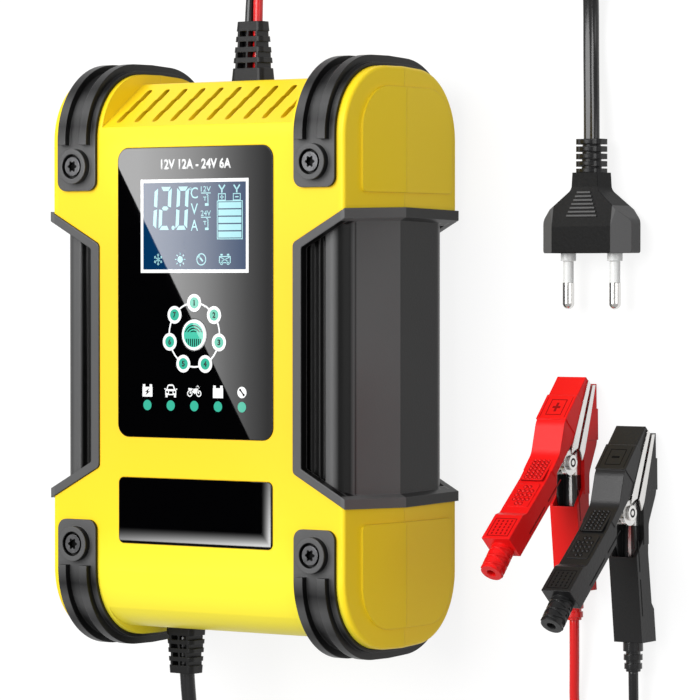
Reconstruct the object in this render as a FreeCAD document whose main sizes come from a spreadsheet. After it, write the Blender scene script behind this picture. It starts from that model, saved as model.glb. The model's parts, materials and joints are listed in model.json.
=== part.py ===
import FreeCAD, Part
import Sketcher
import math
import os
import re

# Car battery charger, lying on its back.
# Millimetres. X runs to the right, Y to the lead end, Z out of the front face.
# The origin is on the surface that the corner bumpers rest on, under the middle.

SIZES = {
    # Housing
    "half_wide": 63.4, "ridge_out": 1.4, "foot_lift": 4, "back_deep": 33,
    "front_deep": 33, "block_end": 99, "mid_end": 95.5, "ear_inner": 41.3,
    "wall": 2.5, "block_round": 24, "mid_round": 19, "front_draft": 0.4,
    "back_draft": 1.8, "edge_round": 1.2, "fit_gap": 0.1,
    "slope_start": 79.2, "slope_drop": 23.4,
    # Raised side pads
    "pad_lift": 0.9, "pad_near": 56, "pad_far": 92, "pad_front_gap": 9,
    "pad_back_gap": 4, "pad_round": 15,
    # Vents in the slope: slots with two small jogs
    "vent_pitch": 7.95, "vent_wide": 2.2, "vent_long": 12, "vent_shift": 0.4,
    "vent_start": 81.1,
    # Side grips
    "grip_inner": 42.3, "grip_short": 38.8, "grip_long": 50, "grip_rim": 3.4,
    "grip_proud": 0.6, "grip_wall": 3, "grip_sink": 1.8, "flute_deep": 2.2,
    "grip_round": 7,
    # Corner bumpers
    "strap_x": 51.7, "strap_wide": 17, "strap_foot": 57.5, "strap_lift": 1.3,
    "strap_round": 3.5, "rib_lift": 3.8, "rib_wide": 3.4, "rib_offset": 4.7,
    "rib_start": 73.5, "boss_round": 6.1, "screw_y": 66, "post_round": 5,
    "counter_round": 4.3, "counter_deep": 2.4, "screw_bore": 1.75,
    "head_round": 3.3, "head_high": 2, "shank_round": 1.5, "shank_long": 18,
    "socket_round": 1.6, "socket_deep": 1.3,
    # Display panel and what sits under it
    "panel_wide": 67.4, "panel_long": 100, "panel_y": 22, "panel_thick": 2.2,
    "panel_proud": 0.3, "panel_round": 4.5, "ledge_deep": 4.5, "ledge_rim": 3,
    "lcd_wide": 47, "lcd_tall": 32.2, "lcd_y": 44.9, "lcd_thick": 7.6,
    "button_y": 7.5, "button_round": 5.4, "button_proud": 0.7,
    "flange_round": 6.8, "flange_thick": 1, "flange_gap": 0.3, "cap_round": 0.6,
    "press_travel": 0.6, "ring_round": 11, "stage_round": 2.6,
    "type_y": -16.9, "type_pitch": 10.3, "type_round": 1.7,
    "board_thick": 1.6, "display_drop": 5.5, "display_wide": 64,
    "display_long": 98, "peg_x": 28.5, "peg_high": 69.5, "peg_low": -23.5,
    "peg_round": 3, "peg_bore": 1, "board_hole": 1.2, "small_head": 2.2,
    "small_head_high": 1.4, "small_shank": 0.9, "plate_wide": 66.8, "plate_tall": 22.8, "plate_y": -53.6,
    "plate_thick": 0.8, "plate_proud": 0.3, "plate_round": 2,
    # Switch under the button
    "switch_wide": 6, "switch_high": 2.2, "plunger_round": 1.5,
    "plunger_bore": 1.56, "plunger_sink": 1.1,
    # Main board and what stands on it
    "main_wide": 82, "main_long": 100, "main_y": 32, "post_high": 13.5,
    "standoff_x": 37.5, "standoff_y": 43, "standoff_round": 3.5,
    "standoff_bore": 1.2, "main_head": 2.7, "main_head_high": 1.8, "main_shank": 1.1,
    "main_hole": 1.4, "wound_x": -18, "wound_y": 28, "yoke_wide": 36, "yoke_thick": 6,
    "yoke_high": 26, "yoke_apart": 30, "winding_round": 14.5, "winding_high": 24,
    "choke_x": -19, "choke_y": -4, "choke_round": 9, "choke_wire": 4, "choke_base": 22,
    "big_can_x": 24, "big_can_y": -4, "big_can_round": 11, "big_can_high": 30,
    "can_x": -8, "can_y": 66, "can_pitch": 14, "can_round": 6.3, "can_high": 20,
    "relay_x": -32, "relay_y": 64, "sink_x": 17, "sink_pitch": 13, "sink_y": 34,
    "sink_long": 42, "sink_high": 28, "sink_thick": 3, "fin_long": 5, "fin_thick": 1.8,
    "fin_pitch": 6.8, "pack_y": 24, "pack_pitch": 20, "pack_thick": 4.5, "pack_wide": 10,
    "pack_high": 15, "leg_thick": 0.8, "leg_high": 6,
    # Cooling fan
    "fan_y": -51, "fan_wide": 50, "fan_thick": 10, "fan_bore": 23.6,
    "blade_reach": 23, "hub_round": 11, "fan_hole": 2.1, "fan_hole_at": 20,
    "shaft_round": 1.5, "shaft_bore": 1.55, "grille_round": 22,
    "grille_pitch": 6, "grille_slot": 3, "arm_wide": 4, "arm_thick": 1.5,
    "motor_high": 3, "bearing_deep": 2.5, "rotor_gap": 0.3, "blade_wide": 12,
    "blade_thick": 0.9,
    # Strain reliefs in the housing
    "relief_collar": 2, "collar_lip": 1.5, "relief_bar": 0.8, "notch_deep": 1.9,
    "notch_shallow": 1.4, "notch_rib": 0.9, "relief_soft": 1.8, "lead_relief_long": 21, "lead_base_wide": 7,
    "lead_base_deep": 4.4, "lead_tip_wide": 5.4, "lead_tip_deep": 3,
    "mains_x": -30, "mains_relief_long": 17.3, "mains_base_wide": 6.2,
    "mains_base_deep": 4.6, "mains_tip_wide": 5.2, "mains_tip_deep": 3.8,
    # Leads
    "core_round": 1.7, "core_apart": 3.9, "mains_round": 2.9,
    # Two-pin plug
    "plug_x": 120.8, "plug_face_y": 35.4, "plug_wide": 35.3, "plug_thick": 13.7,
    "plug_straight": 11, "plug_shoulder": 10.3, "plug_neck": 5.9,
    "plug_relief": 12.1, "neck_wide": 10.6, "neck_thick": 8.8, "facet_wide": 6,
    "facet_deep": 4.7, "ring_groove": 1.1,
    "pin_apart": 18.6, "pin_long": 19, "pin_round": 2, "sleeve_long": 10,
    "sleeve_round": 1.8, "pin_core": 1.4, "pin_seat": 5, "collar_round": 2.6,
    "collar_long": 2.6,
    # Spring clamps: sizes from the pivot, along one half
    "jaw_long": 26, "handle_long": 44, "handle_flare": 0.1, "pivot_high": 14, "bite_angle": 21.5,
    "cover_wide": 12, "handle_wide": 11, "handle_step": 5, "handle_thick": 7.5,
    "handle_start": 14.5, "end_block": 11, "end_proud": 1.5, "cover_wall": 1,
    "jaw_wide": 8.4, "jaw_wall": 0.8, "ear_round": 4.3, "pin_bore": 1.65,
    "rivet_round": 1.6, "rivet_head": 2.6, "rivet_thick": 0.8, "frame_near": 7,
    "frame_far": 17.6, "frame_proud": 0.4, "nub_round": 3.7, "nub_bore": 1.6,
    "mouth_round": 2.2, "sleeve_rib": 3.4, "sleeve_core": 2.5, "spring_leg": 13,
    "teeth": 7, "tooth_deep": 1.1, "spring_wire": 0.4, "spring_round": 2.5,
    "spring_pitch": 1.25, "spring_turns": 3, "clamp_relief": 10,
    "red_x": 113.2, "red_y": -35.2, "black_x": 136.8, "black_y": -51.4,
}

# Heights and slopes that follow from the sizes, as text for the expressions
BACK = "foot_lift"
PARTING = "(foot_lift + back_deep)"
FRONT = "(foot_lift + back_deep + front_deep)"
RUN = "(mid_end - slope_start)"
SLOPE_INSET = f"(wall * sqrt({RUN}^2 + slope_drop^2) / slope_drop)"
LEDGE = f"({FRONT} - ledge_deep)"
DISPLAY_TOP = f"({LEDGE} - display_drop)"
PANEL_FLOOR = f"({FRONT} - panel_thick)"
INSIDE_BACK = "(foot_lift + wall)"
BOARD_LOW = "(foot_lift + wall + post_high)"
BOARD_TOP = "(foot_lift + wall + post_high + board_thick)"
SIDE_OUT = "(half_wide + ridge_out)"
STAGES = 7
TYPES = 5
VENTS = 10
BLADES = 7
BLADE_TILT = 38
RELIEF_SLOTS = 4
RELIEF_FIRST = 0.224
RELIEF_STEP = 0.176

vector = FreeCAD.Vector
doc = FreeCAD.newDocument("charger")
sheet = doc.addObject("Spreadsheet::Sheet", "size")
nodes = {}


def fill_sheet():
    for row, (name, value) in enumerate(SIZES.items(), 1):
        sheet.set(f"A{row}", name)
        sheet.set(f"B{row}", str(value))
        sheet.setAlias(f"B{row}", name)
    doc.recompute()


def bound(text):
    """An expression on the sheet, from text that uses the bare size names."""
    return re.sub(r"[a-z]\w*", lambda word: "size." + word[0] if word[0] in SIZES else word[0], str(text))


def number(text):
    return float(sheet.evalExpression(str(text)))


def bind(thing, settings):
    for name, text in settings.items():
        thing.setExpression(name, bound(text))


# Sketches: a loop is a list of corners (x, y) or (x, y, radius), or a circle

def hold_point(sketch, geometry, end, x, y):
    for kind, text in (("DistanceX", x), ("DistanceY", y)):
        row = sketch.addConstraint(Sketcher.Constraint(kind, -1, 1, geometry, end, number(text)))
        sketch.setExpression(f"Constraints[{row}]", bound(text))


def hold_radius(sketch, geometry, text):
    row = sketch.addConstraint(Sketcher.Constraint("Radius", geometry, number(text)))
    sketch.setExpression(f"Constraints[{row}]", bound(text))


def draw_circle(sketch, x, y, radius):
    ring = Part.Circle(vector(number(x), number(y), 0), vector(0, 0, 1), number(radius))
    geometry = sketch.addGeometry(ring, False)
    hold_point(sketch, geometry, 3, x, y)
    hold_radius(sketch, geometry, radius)


def draw_corner(sketch, corner, here, way, turn, reach, before, after):
    """A tangent arc between two lines, about the corner where they would meet."""
    radius = number(corner[2])
    side = vector(-way.y, way.x, 0) * (1 if turn > 0 else -1)
    middle = here - way * reach + side * radius
    first = math.atan2(-side.y, -side.x)
    spans = (first, first + turn) if turn > 0 else (first + turn, first)
    circle = Part.Circle(middle, vector(0, 0, 1), radius)
    arc = sketch.addGeometry(Part.ArcOfCircle(circle, *spans), False)
    start, end = (1, 2) if turn > 0 else (2, 1)
    sketch.addConstraint(Sketcher.Constraint("Tangent", before, 2, arc, start))
    sketch.addConstraint(Sketcher.Constraint("Tangent", arc, end, after, 1))
    hold_radius(sketch, arc, corner[2])
    point = sketch.addGeometry(Part.Point(here), True)
    hold_point(sketch, point, 1, corner[0], corner[1])
    sketch.addConstraint(Sketcher.Constraint("PointOnObject", point, 1, before))
    sketch.addConstraint(Sketcher.Constraint("PointOnObject", point, 1, after))


def draw_loop(sketch, loop):
    count = len(loop)
    corners = [vector(number(spot[0]), number(spot[1]), 0) for spot in loop]
    ways = [(corners[(i + 1) % count] - corners[i]).normalize() for i in range(count)]
    turns = [math.atan2(ways[i - 1].x * ways[i].y - ways[i - 1].y * ways[i].x, ways[i - 1] * ways[i])
             for i in range(count)]
    radii = [number(spot[2]) if len(spot) > 2 else 0.0 for spot in loop]
    reach = [radius * math.tan(abs(turn) / 2) for radius, turn in zip(radii, turns)]
    lines = []
    for i in range(count):
        start = corners[i] + ways[i] * reach[i]
        end = corners[(i + 1) % count] - ways[i] * reach[(i + 1) % count]
        lines.append(sketch.addGeometry(Part.LineSegment(start, end), False))
    for i in range(count):
        if radii[i]:
            draw_corner(sketch, loop[i], corners[i], ways[i - 1], turns[i], reach[i], lines[i - 1], lines[i])
        else:
            sketch.addConstraint(Sketcher.Constraint("Coincident", lines[i - 1], 2, lines[i], 1))
            hold_point(sketch, lines[i], 1, loop[i][0], loop[i][1])


def sketch_on(body, name, plane, loops, at="0"):
    sketch = body.newObject("Sketcher::SketchObject", name)
    support = next(part for part in body.Origin.OriginFeatures if part.Role == plane + "_Plane")
    sketch.AttachmentSupport = [(support, "")]
    sketch.MapMode = "FlatFace"
    sketch.setExpression(".AttachmentOffset.Base.z", bound(at))
    for loop in loops:
        if loop[0] == "circle":
            draw_circle(sketch, *loop[1:])
        else:
            draw_loop(sketch, loop)
    return sketch


def sweep_sketch(kind, body, name, plane, loops, long, at=None):
    """A pad or pocket: both ways from its plane, or one way from the height at."""
    feature = body.newObject("PartDesign::" + kind, name)
    feature.Profile = sketch_on(body, name + "_sketch", plane, loops, at or "0")
    feature.setExpression("Length", bound(long))
    feature.Midplane = at is None
    return feature


def pad(body, name, plane, loops, long, at=None):
    return sweep_sketch("Pad", body, name, plane, loops, long, at)


def pocket(body, name, plane, loops, long, at=None):
    return sweep_sketch("Pocket", body, name, plane, loops, long, at)


def turned(kind, body, name, loops, plane="XY"):
    """A full turn of a sketch about its own upright axis."""
    sketch = sketch_on(body, name + "_sketch", plane, loops)
    feature = body.newObject("PartDesign::" + kind, name)
    feature.Profile = sketch
    feature.ReferenceAxis = (sketch, ["V_Axis"])
    feature.Angle = 360
    return feature


def new_body(label):
    body = doc.addObject("PartDesign::Body", label)
    nodes[label] = body
    return body


def rectangle(x_low, y_low, x_high, y_high, radius=None):
    spots = [(x_low, y_low), (x_high, y_low), (x_high, y_high), (x_low, y_high)]
    return [spot + (radius,) for spot in spots] if radius else spots


def centred(x, y, wide, tall, radius=None):
    return rectangle(f"{x} - {wide} / 2", f"{y} - {tall} / 2",
                     f"{x} + {wide} / 2", f"{y} + {tall} / 2", radius)


def long_edges(shape, axis, test):
    """Names of the straight edges along one axis whose middle passes the test."""
    names = []
    for row, edge in enumerate(shape.Edges, 1):
        if edge.Curve.TypeId != "Part::GeomLine" or len(edge.Vertexes) < 2:
            continue
        way = edge.Vertexes[1].Point - edge.Vertexes[0].Point
        if abs(abs(way.normalize() * axis) - 1) < 1e-6 and test(edge.CenterOfMass):
            names.append(f"Edge{row}")
    return names


def round_edges(body, name, axis, test, radius, kind="Fillet"):
    doc.recompute()
    base = body.Tip
    names = long_edges(base.Shape, axis, test)
    feature = body.newObject("PartDesign::" + kind, name)
    feature.Base = (base, names)
    feature.setExpression("Radius" if kind == "Fillet" else "Size", bound(radius))


# Plain solids, for the inner pieces

def solid(kind, name, settings):
    thing = doc.addObject("Part::" + kind, name)
    bind(thing, settings)
    return thing


def box(name, low, sides):
    places = {f".Placement.Base.{axis}": text for axis, text in zip("xyz", low)}
    return solid("Box", name, {**places, "Length": sides[0], "Width": sides[1], "Height": sides[2]})


def box_about(name, x, y, low, sides):
    return box(name, (f"{x} - ({sides[0]}) / 2", f"{y} - ({sides[1]}) / 2", low), sides)


def rod(name, foot, radius, high):
    places = {f".Placement.Base.{axis}": text for axis, text in zip("xyz", foot)}
    return solid("Cylinder", name, {**places, "Radius": radius, "Height": high})


def join(name, pieces):
    thing = doc.addObject("Part::MultiFuse", name)
    thing.Shapes = pieces
    return thing


def cut(name, base, tool):
    thing = doc.addObject("Part::Cut", name)
    thing.Base = base
    thing.Tool = tool
    return thing


def keep(label, thing):
    thing.Label = label
    nodes[label] = thing
    return thing


def shaped(label, shape):
    thing = doc.addObject("Part::Feature", label)
    thing.Shape = shape
    nodes[label] = thing
    return thing


# Housing shells

def block_profile(edge, draft, inset="0"):
    """End and corner rounds of one shell, seen from the side."""
    end = f"(block_end - {inset})"
    top = f"({edge} - {inset})" if edge == FRONT else f"({edge} + {inset})"
    radius = f"block_round - {inset}"
    return [(f"-{end}", PARTING), (end, PARTING), (f"{end} - {draft}", top, radius),
            (f"-({end} - {draft})", top, radius)]


def side_trim(edge, lift):
    """The two wedges outside the sides, which slope in from the parting ridge."""
    return [[(f"{way} * ({SIDE_OUT} + {lift})", PARTING), (f"{way} * (half_wide + {lift})", edge),
             (f"{way} * (half_wide + 9)", edge), (f"{way} * (half_wide + 9)", PARTING)] for way in (1, -1)]


def pad_loops(edge):
    """Outlines of the raised side pads at the two ends of a shell."""
    top = f"{FRONT} - pad_front_gap" if edge == FRONT else "foot_lift + pad_back_gap"
    return [[(f"{way} * pad_near", PARTING), (f"{way} * pad_far", PARTING),
             (f"{way} * pad_far", top, "pad_round"), (f"{way} * pad_near", top, "2")] for way in (1, -1)]


def grip_outline(gap, far):
    """Hexagon of a side grip in plan, widened by a gap, out to a far X."""
    rise = "((grip_long - grip_short) / (half_wide - grip_inner))"
    reach = f"(grip_long + {gap} + ({far} - half_wide) * {rise})"
    near = f"(grip_short + {gap})"
    return lambda way: [(f"{way} * (grip_inner - {gap})", f"-{near}", "2"), (f"{way} * {far}", f"-{reach}"),
                        (f"{way} * {far}", reach), (f"{way} * (grip_inner - {gap})", near, "2")]


def shell_blank(body, edge, draft, deep):
    """The hollow shell with its corner blocks, side pads and grip windows."""
    pad(body, "blocks", "YZ", [block_profile(edge, draft)], f"2 * {SIDE_OUT}")
    pocket(body, "side_slopes", "XZ", side_trim(edge, "0"), "3 * block_end")
    doc.recompute()
    side = number("half_wide") - 0.05
    level = number(PARTING)
    blank = body.Tip
    names = [f"Edge{row}" for row, line in enumerate(blank.Shape.Edges, 1)
             if abs(line.CenterOfMass.x) > side - 1 and abs(line.CenterOfMass.z - level) > 1
             and all(abs(spot.Point.x) > side for spot in line.Vertexes)
             and (line.Curve.TypeId != "Part::GeomLine" or abs(line.BoundBox.XLength) < 3)]
    soft = body.newObject("PartDesign::Fillet", "soft_edges")
    soft.Base = (blank, names)
    soft.setExpression("Radius", bound("edge_round"))
    pad(body, "side_pads", "YZ", pad_loops(edge), f"2 * ({SIDE_OUT} + pad_lift)")
    pocket(body, "pad_slopes", "XZ", side_trim(edge, "pad_lift"), "3 * block_end")
    pocket(body, "block_hollow", "YZ", [block_profile(edge, draft, "wall")], "2 * (half_wide - wall)")
    pad(body, "middle_fill", "YZ", [block_profile(edge, draft)], "2 * (ear_inner + wall)")
    top = FRONT if edge == FRONT else PARTING
    pocket(body, "grip_windows", "XY", [grip_outline("fit_gap", f"({SIDE_OUT} + 3)")(way) for way in (1, -1)],
           f"{deep} + 0", top)


def end_hole(body, name, x, base, end):
    """The shell's share of the hole that a strain relief sits in."""
    half_wide, half_deep = f"({base}_wide + fit_gap)", f"({base}_deep + fit_gap)"
    loop = rectangle(f"{x} - {half_wide}", f"{PARTING} - {half_deep}",
                     f"{x} + {half_wide}", f"{PARTING} + {half_deep}", "2")
    low = "-(mid_end - wall - 1)" if end > 0 else "mid_end + 1"
    pocket(body, name, "XZ", [loop], "wall + 2", low)


def strap_spots():
    return [(f"{x} * strap_x", f"{y} * screw_y") for x in (1, -1) for y in (1, -1)]


def make_front_shell():
    body = new_body("front_shell")
    shell_blank(body, FRONT, "front_draft", "front_deep")
    above = f"({FRONT} + 1)"
    slope = [("mid_end", PARTING), ("block_end + 2", PARTING), ("block_end + 2", above),
             ("slope_start", above), ("slope_start", FRONT), ("mid_end", f"{FRONT} - slope_drop", "3")]
    bottom = [("-(block_end + 2)", PARTING), ("-mid_end", PARTING), ("-mid_end", FRONT, "mid_round"),
              ("-(mid_end - mid_round - 1)", FRONT), ("-(mid_end - mid_round - 1)", above),
              ("-(block_end + 2)", above)]
    pocket(body, "between_blocks", "YZ", [slope, bottom], "2 * ear_inner")
    inner_end = "(mid_end - wall)"
    slope_foot = f"({FRONT} - slope_drop + (wall - {SLOPE_INSET}) * slope_drop / {RUN})"
    hollow = [(f"-{inner_end}", PARTING), (inner_end, PARTING), (inner_end, slope_foot),
              (f"slope_start - {SLOPE_INSET} + wall * {RUN} / slope_drop", f"{FRONT} - wall"),
              (f"-{inner_end}", f"{FRONT} - wall", "mid_round - wall")]
    pocket(body, "middle_hollow", "YZ", [hollow], "2 * (ear_inner + wall)")
    pad(body, "ledge", "XY", [centred("0", "panel_y", "(panel_wide + 2 * ledge_rim)",
        "(panel_long + 2 * ledge_rim)")], "ledge_deep - wall / 2", LEDGE)
    pad(body, "screw_posts", "XY", [("circle", x, y, "post_round") for x, y in strap_spots()],
        "front_deep - wall / 2", PARTING)
    pegs = [(f"{x} * peg_x", y) for x in (1, -1) for y in ("peg_high", "peg_low")]
    pad(body, "display_pegs", "XY", [("circle", x, y, "peg_round") for x, y in pegs],
        "display_drop + 0.5", DISPLAY_TOP)
    pocket(body, "peg_bores", "XY", [("circle", x, y, "peg_bore") for x, y in pegs], "display_drop", LEDGE)
    pocket(body, "screw_bores", "XY", [("circle", x, y, "screw_bore") for x, y in strap_spots()],
           "front_deep + 2", above)
    pocket(body, "panel_seat", "XY", [centred("0", "panel_y", "(panel_wide + 2 * fit_gap)",
           "(panel_long + 2 * fit_gap)", "panel_round")], "panel_thick", FRONT)
    pocket(body, "lcd_window", "XY", [centred("0", "lcd_y", "(lcd_wide + 2 * fit_gap)",
           "(lcd_tall + 2 * fit_gap)")], "ledge_deep + 1", FRONT)
    round_holes = [("circle", "0", "button_y", "button_round + fit_gap")]
    round_holes += [("circle", x, y, "stage_round + fit_gap") for x, y in stage_spots()]
    round_holes += [("circle", x, "type_y", "type_round + fit_gap") for x in type_places()]
    pocket(body, "light_holes", "XY", round_holes, "ledge_deep + 1", FRONT)
    pocket(body, "plate_seat", "XY", [centred("0", "plate_y", "(plate_wide + 2 * fit_gap)",
           "(plate_tall + 2 * fit_gap)", "plate_round")], "plate_thick", FRONT)
    doc.recompute()
    vents = pocket(body, "vent_slot", "XY", [vent_slot()], "slope_drop + 7", above)
    for way, name, steps in ((1, "vents_right", VENTS // 2 - 1), (-1, "vents_left", VENTS // 2)):
        copies = body.newObject("PartDesign::LinearPattern", name)
        copies.Originals = [vents]
        copies.Direction = (vents.Profile[0], ["H_Axis"])
        copies.Reversed = way < 0
        copies.setExpression("Length", bound(f"vent_pitch * {steps}"))
        copies.Occurrences = steps + 1
        body.Tip = copies
    end_hole(body, "lead_hole", "0", "lead_base", 1)
    end_hole(body, "mains_hole", "mains_x", "mains_base", -1)


def vent_slot():
    """The slot right of the middle, in three lengths that each lie further right."""
    soft = "vent_wide * 0.4"
    levels = [f"vent_start + {row} * vent_long / 3" for row in range(4)]
    right, left = [], []
    for row in range(3):
        middle = f"vent_pitch / 2 + {row - 1} * vent_shift"
        right += [(f"{middle} + vent_wide / 2", levels[row]), (f"{middle} + vent_wide / 2", levels[row + 1])]
        left += [(f"{middle} - vent_wide / 2", levels[row]), (f"{middle} - vent_wide / 2", levels[row + 1])]
    for side in (right, left):
        side[0] += (soft,)
        side[-1] += (soft,)
    return right + left[::-1]


def stage_spots():
    return [(f"ring_round * sin({360 * i / STAGES})", f"button_y + ring_round * cos({360 * i / STAGES})")
            for i in range(STAGES)]


def type_places():
    return [f"{i - TYPES // 2} * type_pitch" for i in range(TYPES)]


def make_back_shell():
    body = new_body("back_shell")
    shell_blank(body, BACK, "back_draft", "back_deep")
    below = f"({BACK} - 1)"
    ends = [[(f"{way} * (block_end + 2)", PARTING), (f"{way} * mid_end", PARTING),
             (f"{way} * mid_end", BACK, "mid_round"), (f"{way} * (mid_end - mid_round - 1)", BACK),
             (f"{way} * (mid_end - mid_round - 1)", below), (f"{way} * (block_end + 2)", below)]
            for way in (1, -1)]
    pocket(body, "between_blocks", "YZ", ends, "2 * ear_inner")
    inner_end = "(mid_end - wall)"
    hollow = [(f"-{inner_end}", PARTING), (inner_end, PARTING), (inner_end, INSIDE_BACK, "mid_round - wall"),
              (f"-{inner_end}", INSIDE_BACK, "mid_round - wall")]
    pocket(body, "middle_hollow", "YZ", [hollow], "2 * (ear_inner + wall)")
    pad(body, "screw_posts", "XY", [("circle", x, y, "post_round") for x, y in strap_spots()],
        "back_deep - wall / 2", "foot_lift + wall / 2")
    stands = [(f"{x} * standoff_x", f"main_y + {y} * standoff_y") for x in (1, -1) for y in (1, -1)]
    pad(body, "standoffs", "XY", [("circle", x, y, "standoff_round") for x, y in stands],
        "post_high + wall / 2", "foot_lift + wall / 2")
    fan_pegs = [(f"{x} * fan_hole_at", f"fan_y + {y} * fan_hole_at") for x in (1, -1) for y in (1, -1)]
    pad(body, "fan_pegs", "XY", [("circle", x, y, "fan_hole - fit_gap") for x, y in fan_pegs],
        "fan_thick - 1 + wall / 2", "foot_lift + wall / 2")
    pocket(body, "standoff_bores", "XY", [("circle", x, y, "standoff_bore") for x, y in stands],
           "0.75 * post_high", BOARD_LOW)
    pocket(body, "screw_bores", "XY", [("circle", x, y, "screw_bore") for x, y in strap_spots()],
           "back_deep + 2", f"{PARTING} + 1")
    slots = []
    for i in range(-3, 4):
        x = f"({i} * grille_pitch)"
        half = f"sqrt(grille_round^2 - (abs({i}) * grille_pitch + grille_slot / 2)^2)"
        slots.append(rectangle(f"{x} - grille_slot / 2", f"fan_y - {half}", f"{x} + grille_slot / 2",
                               f"fan_y + {half}", "grille_slot * 0.45"))
    pocket(body, "grille", "XY", slots, "wall + 2", f"{INSIDE_BACK} + 1")
    end_hole(body, "lead_hole", "0", "lead_base", 1)
    end_hole(body, "mains_hole", "mains_x", "mains_base", -1)


# Side grips: a raised rim round a fluted core, wrapping from front to back

def make_grip(label, way):
    body = new_body(label)
    front, back = f"({FRONT} + grip_proud)", f"({BACK} - grip_proud)"
    rise = "((grip_long - grip_short) / (half_wide - grip_inner))"
    outer = f"({SIDE_OUT} + 2)"
    pad(body, "rim", "XY", [grip_outline("0", outer)(way)], f"{front} - {back}", back)
    near_x, near_y = "(grip_inner + grip_rim)", "(grip_short - grip_rim * 0.45)"
    beyond = f"({outer} + 3)"
    far_y = f"({near_y} + ({beyond} - {near_x}) * {rise})"
    window = [(f"{way} * {near_x}", f"-{near_y}", "1"), (f"{way} * {beyond}", f"-{far_y}"),
              (f"{way} * {beyond}", far_y), (f"{way} * {near_x}", near_y, "1")]
    pocket(body, "rim_window", "XY", [window], f"{front} - {back} + 2", f"{front} + 1")
    sides = [(f"{way} * ({SIDE_OUT} + grip_proud)", PARTING), (f"{way} * (half_wide + grip_proud)", front),
             (f"{way} * (half_wide + 9)", front), (f"{way} * (half_wide + 9)", back),
             (f"{way} * (half_wide + grip_proud)", back)]
    inside = [(f"{way} * {x}", z) for x, z in (
        ("(grip_inner - 1)", f"{BACK} + grip_wall"), ("(half_wide - grip_wall)", f"{BACK} + grip_wall"),
        ("(half_wide - grip_wall)", f"{FRONT} - grip_wall"), ("(grip_inner - 1)", f"{FRONT} - grip_wall"))]
    pocket(body, "rim_faces", "XZ", [sides, inside], "3 * block_end")
    pad(body, "core", "XZ", [core_profile(way)], "2 * (grip_long - 1)")
    corners = [[(f"{way} * (grip_inner - 1)", f"{y} * (grip_short - {rise})"),
                (f"{way} * {outer}", f"{y} * (grip_short + ({outer} - grip_inner) * {rise})"),
                (f"{way} * {outer}", f"{y} * (grip_long + 9)"),
                (f"{way} * (grip_inner - 1)", f"{y} * (grip_long + 9)")] for y in (1, -1)]
    pocket(body, "end_slopes", "XY", corners, f"{front} - {back} + 2", f"{front} + 1")


def core_profile(way):
    """Section of the core: two thin flutes and a full round on the front and the back."""
    start = "(grip_inner + 0.5)"
    crest = "(grip_sink + 1.2)"
    valley = f"({crest} + flute_deep)"
    thin = "(grip_wall + 3.1)"
    side = "(half_wide - grip_sink)"
    soft = "0.7"
    steps = [("0", valley), ("2.6", valley, soft), ("3.5", crest, soft), ("4.4", valley, soft),
             ("6.2", valley, soft), ("7.2", crest, soft), ("8.2", valley, soft),
             ("9.4", valley, soft), ("10.6", crest, soft)]
    front = [(f"{way} * ({start} + {step[0]})", f"{FRONT} - {step[1]}") + step[2:] for step in steps]
    front.append((f"{way} * {side}", f"{FRONT} - {crest}", "grip_round"))
    ridge = [(f"{way} * ({side} + ridge_out)", PARTING)]
    back = [(f"{way} * {side}", f"{BACK} + {crest}", "grip_round")]
    back += [(f"{way} * ({start} + {step[0]})", f"{BACK} + {step[1]}") + step[2:] for step in reversed(steps)]
    inner_x = "(half_wide - grip_sink - 2.4)"
    inner = [(f"{way} * {start}", f"{BACK} + {thin}"), (f"{way} * {inner_x}", f"{BACK} + {thin} + 1"),
             (f"{way} * {inner_x}", f"{FRONT} - {thin} - 1"), (f"{way} * {start}", f"{FRONT} - {thin}")]
    return front + ridge + back + inner


# Corner bumpers

def wrap_profile(near, inner, outer):
    """A band round one end of the blocks, between two offsets from them."""
    front_in, front_out = f"{FRONT} + {inner}", f"{FRONT} + {outer}"
    back_in, back_out = f"{BACK} - {inner}", f"{BACK} - {outer}"
    front_end, back_end = "(block_end - front_draft)", "(block_end - back_draft)"
    return [(near, front_in), (f"{front_end} + {inner}", front_in, f"block_round + {inner}"),
            (f"block_end + {inner}", PARTING), (f"{back_end} + {inner}", back_in, f"block_round + {inner}"),
            (near, back_in), (near, back_out), (f"{back_end} + {outer}", back_out, f"block_round + {outer}"),
            (f"block_end + {outer}", PARTING),
            (f"{front_end} + {outer}", front_out, f"block_round + {outer}"), (near, front_out)]


def make_bumper(label, x, y):
    body = new_body(label)
    pad(body, "strap", "YZ", [wrap_profile("strap_foot", "fit_gap", "strap_lift")], "strap_wide")
    foot = number("strap_foot")
    round_edges(body, "strap_feet", vector(0, 0, 1), lambda spot: abs(spot.y - foot) < 0.01, "strap_round")
    for way, name in ((1, "rib_outer"), (-1, "rib_inner")):
        pad(body, name, "YZ", [wrap_profile("rib_start", "(strap_lift - 0.4)", "rib_lift")], "rib_wide",
            f"{way} * rib_offset - rib_wide / 2")
    boss = [("circle", "0", "screw_y", "boss_round")]
    pad(body, "front_boss", "XY", boss, "foot_lift - fit_gap", f"{FRONT} + fit_gap")
    pad(body, "back_boss", "XY", boss, "foot_lift - fit_gap", "0")
    counter = [("circle", "0", "screw_y", "counter_round")]
    pocket(body, "front_counterbore", "XY", counter, "counter_deep", f"{FRONT} + foot_lift")
    pocket(body, "back_counterbore", "XY", counter, "counter_deep", "counter_deep")
    pocket(body, "bore", "XY", [("circle", "0", "screw_y", "screw_bore")], f"{FRONT} + 2 * foot_lift",
           f"{FRONT} + foot_lift")
    body.Placement = FreeCAD.Placement(vector(x * number("strap_x"), 0, 0),
                                       FreeCAD.Rotation(vector(0, 0, 1), 0 if y > 0 else 180))


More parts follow.
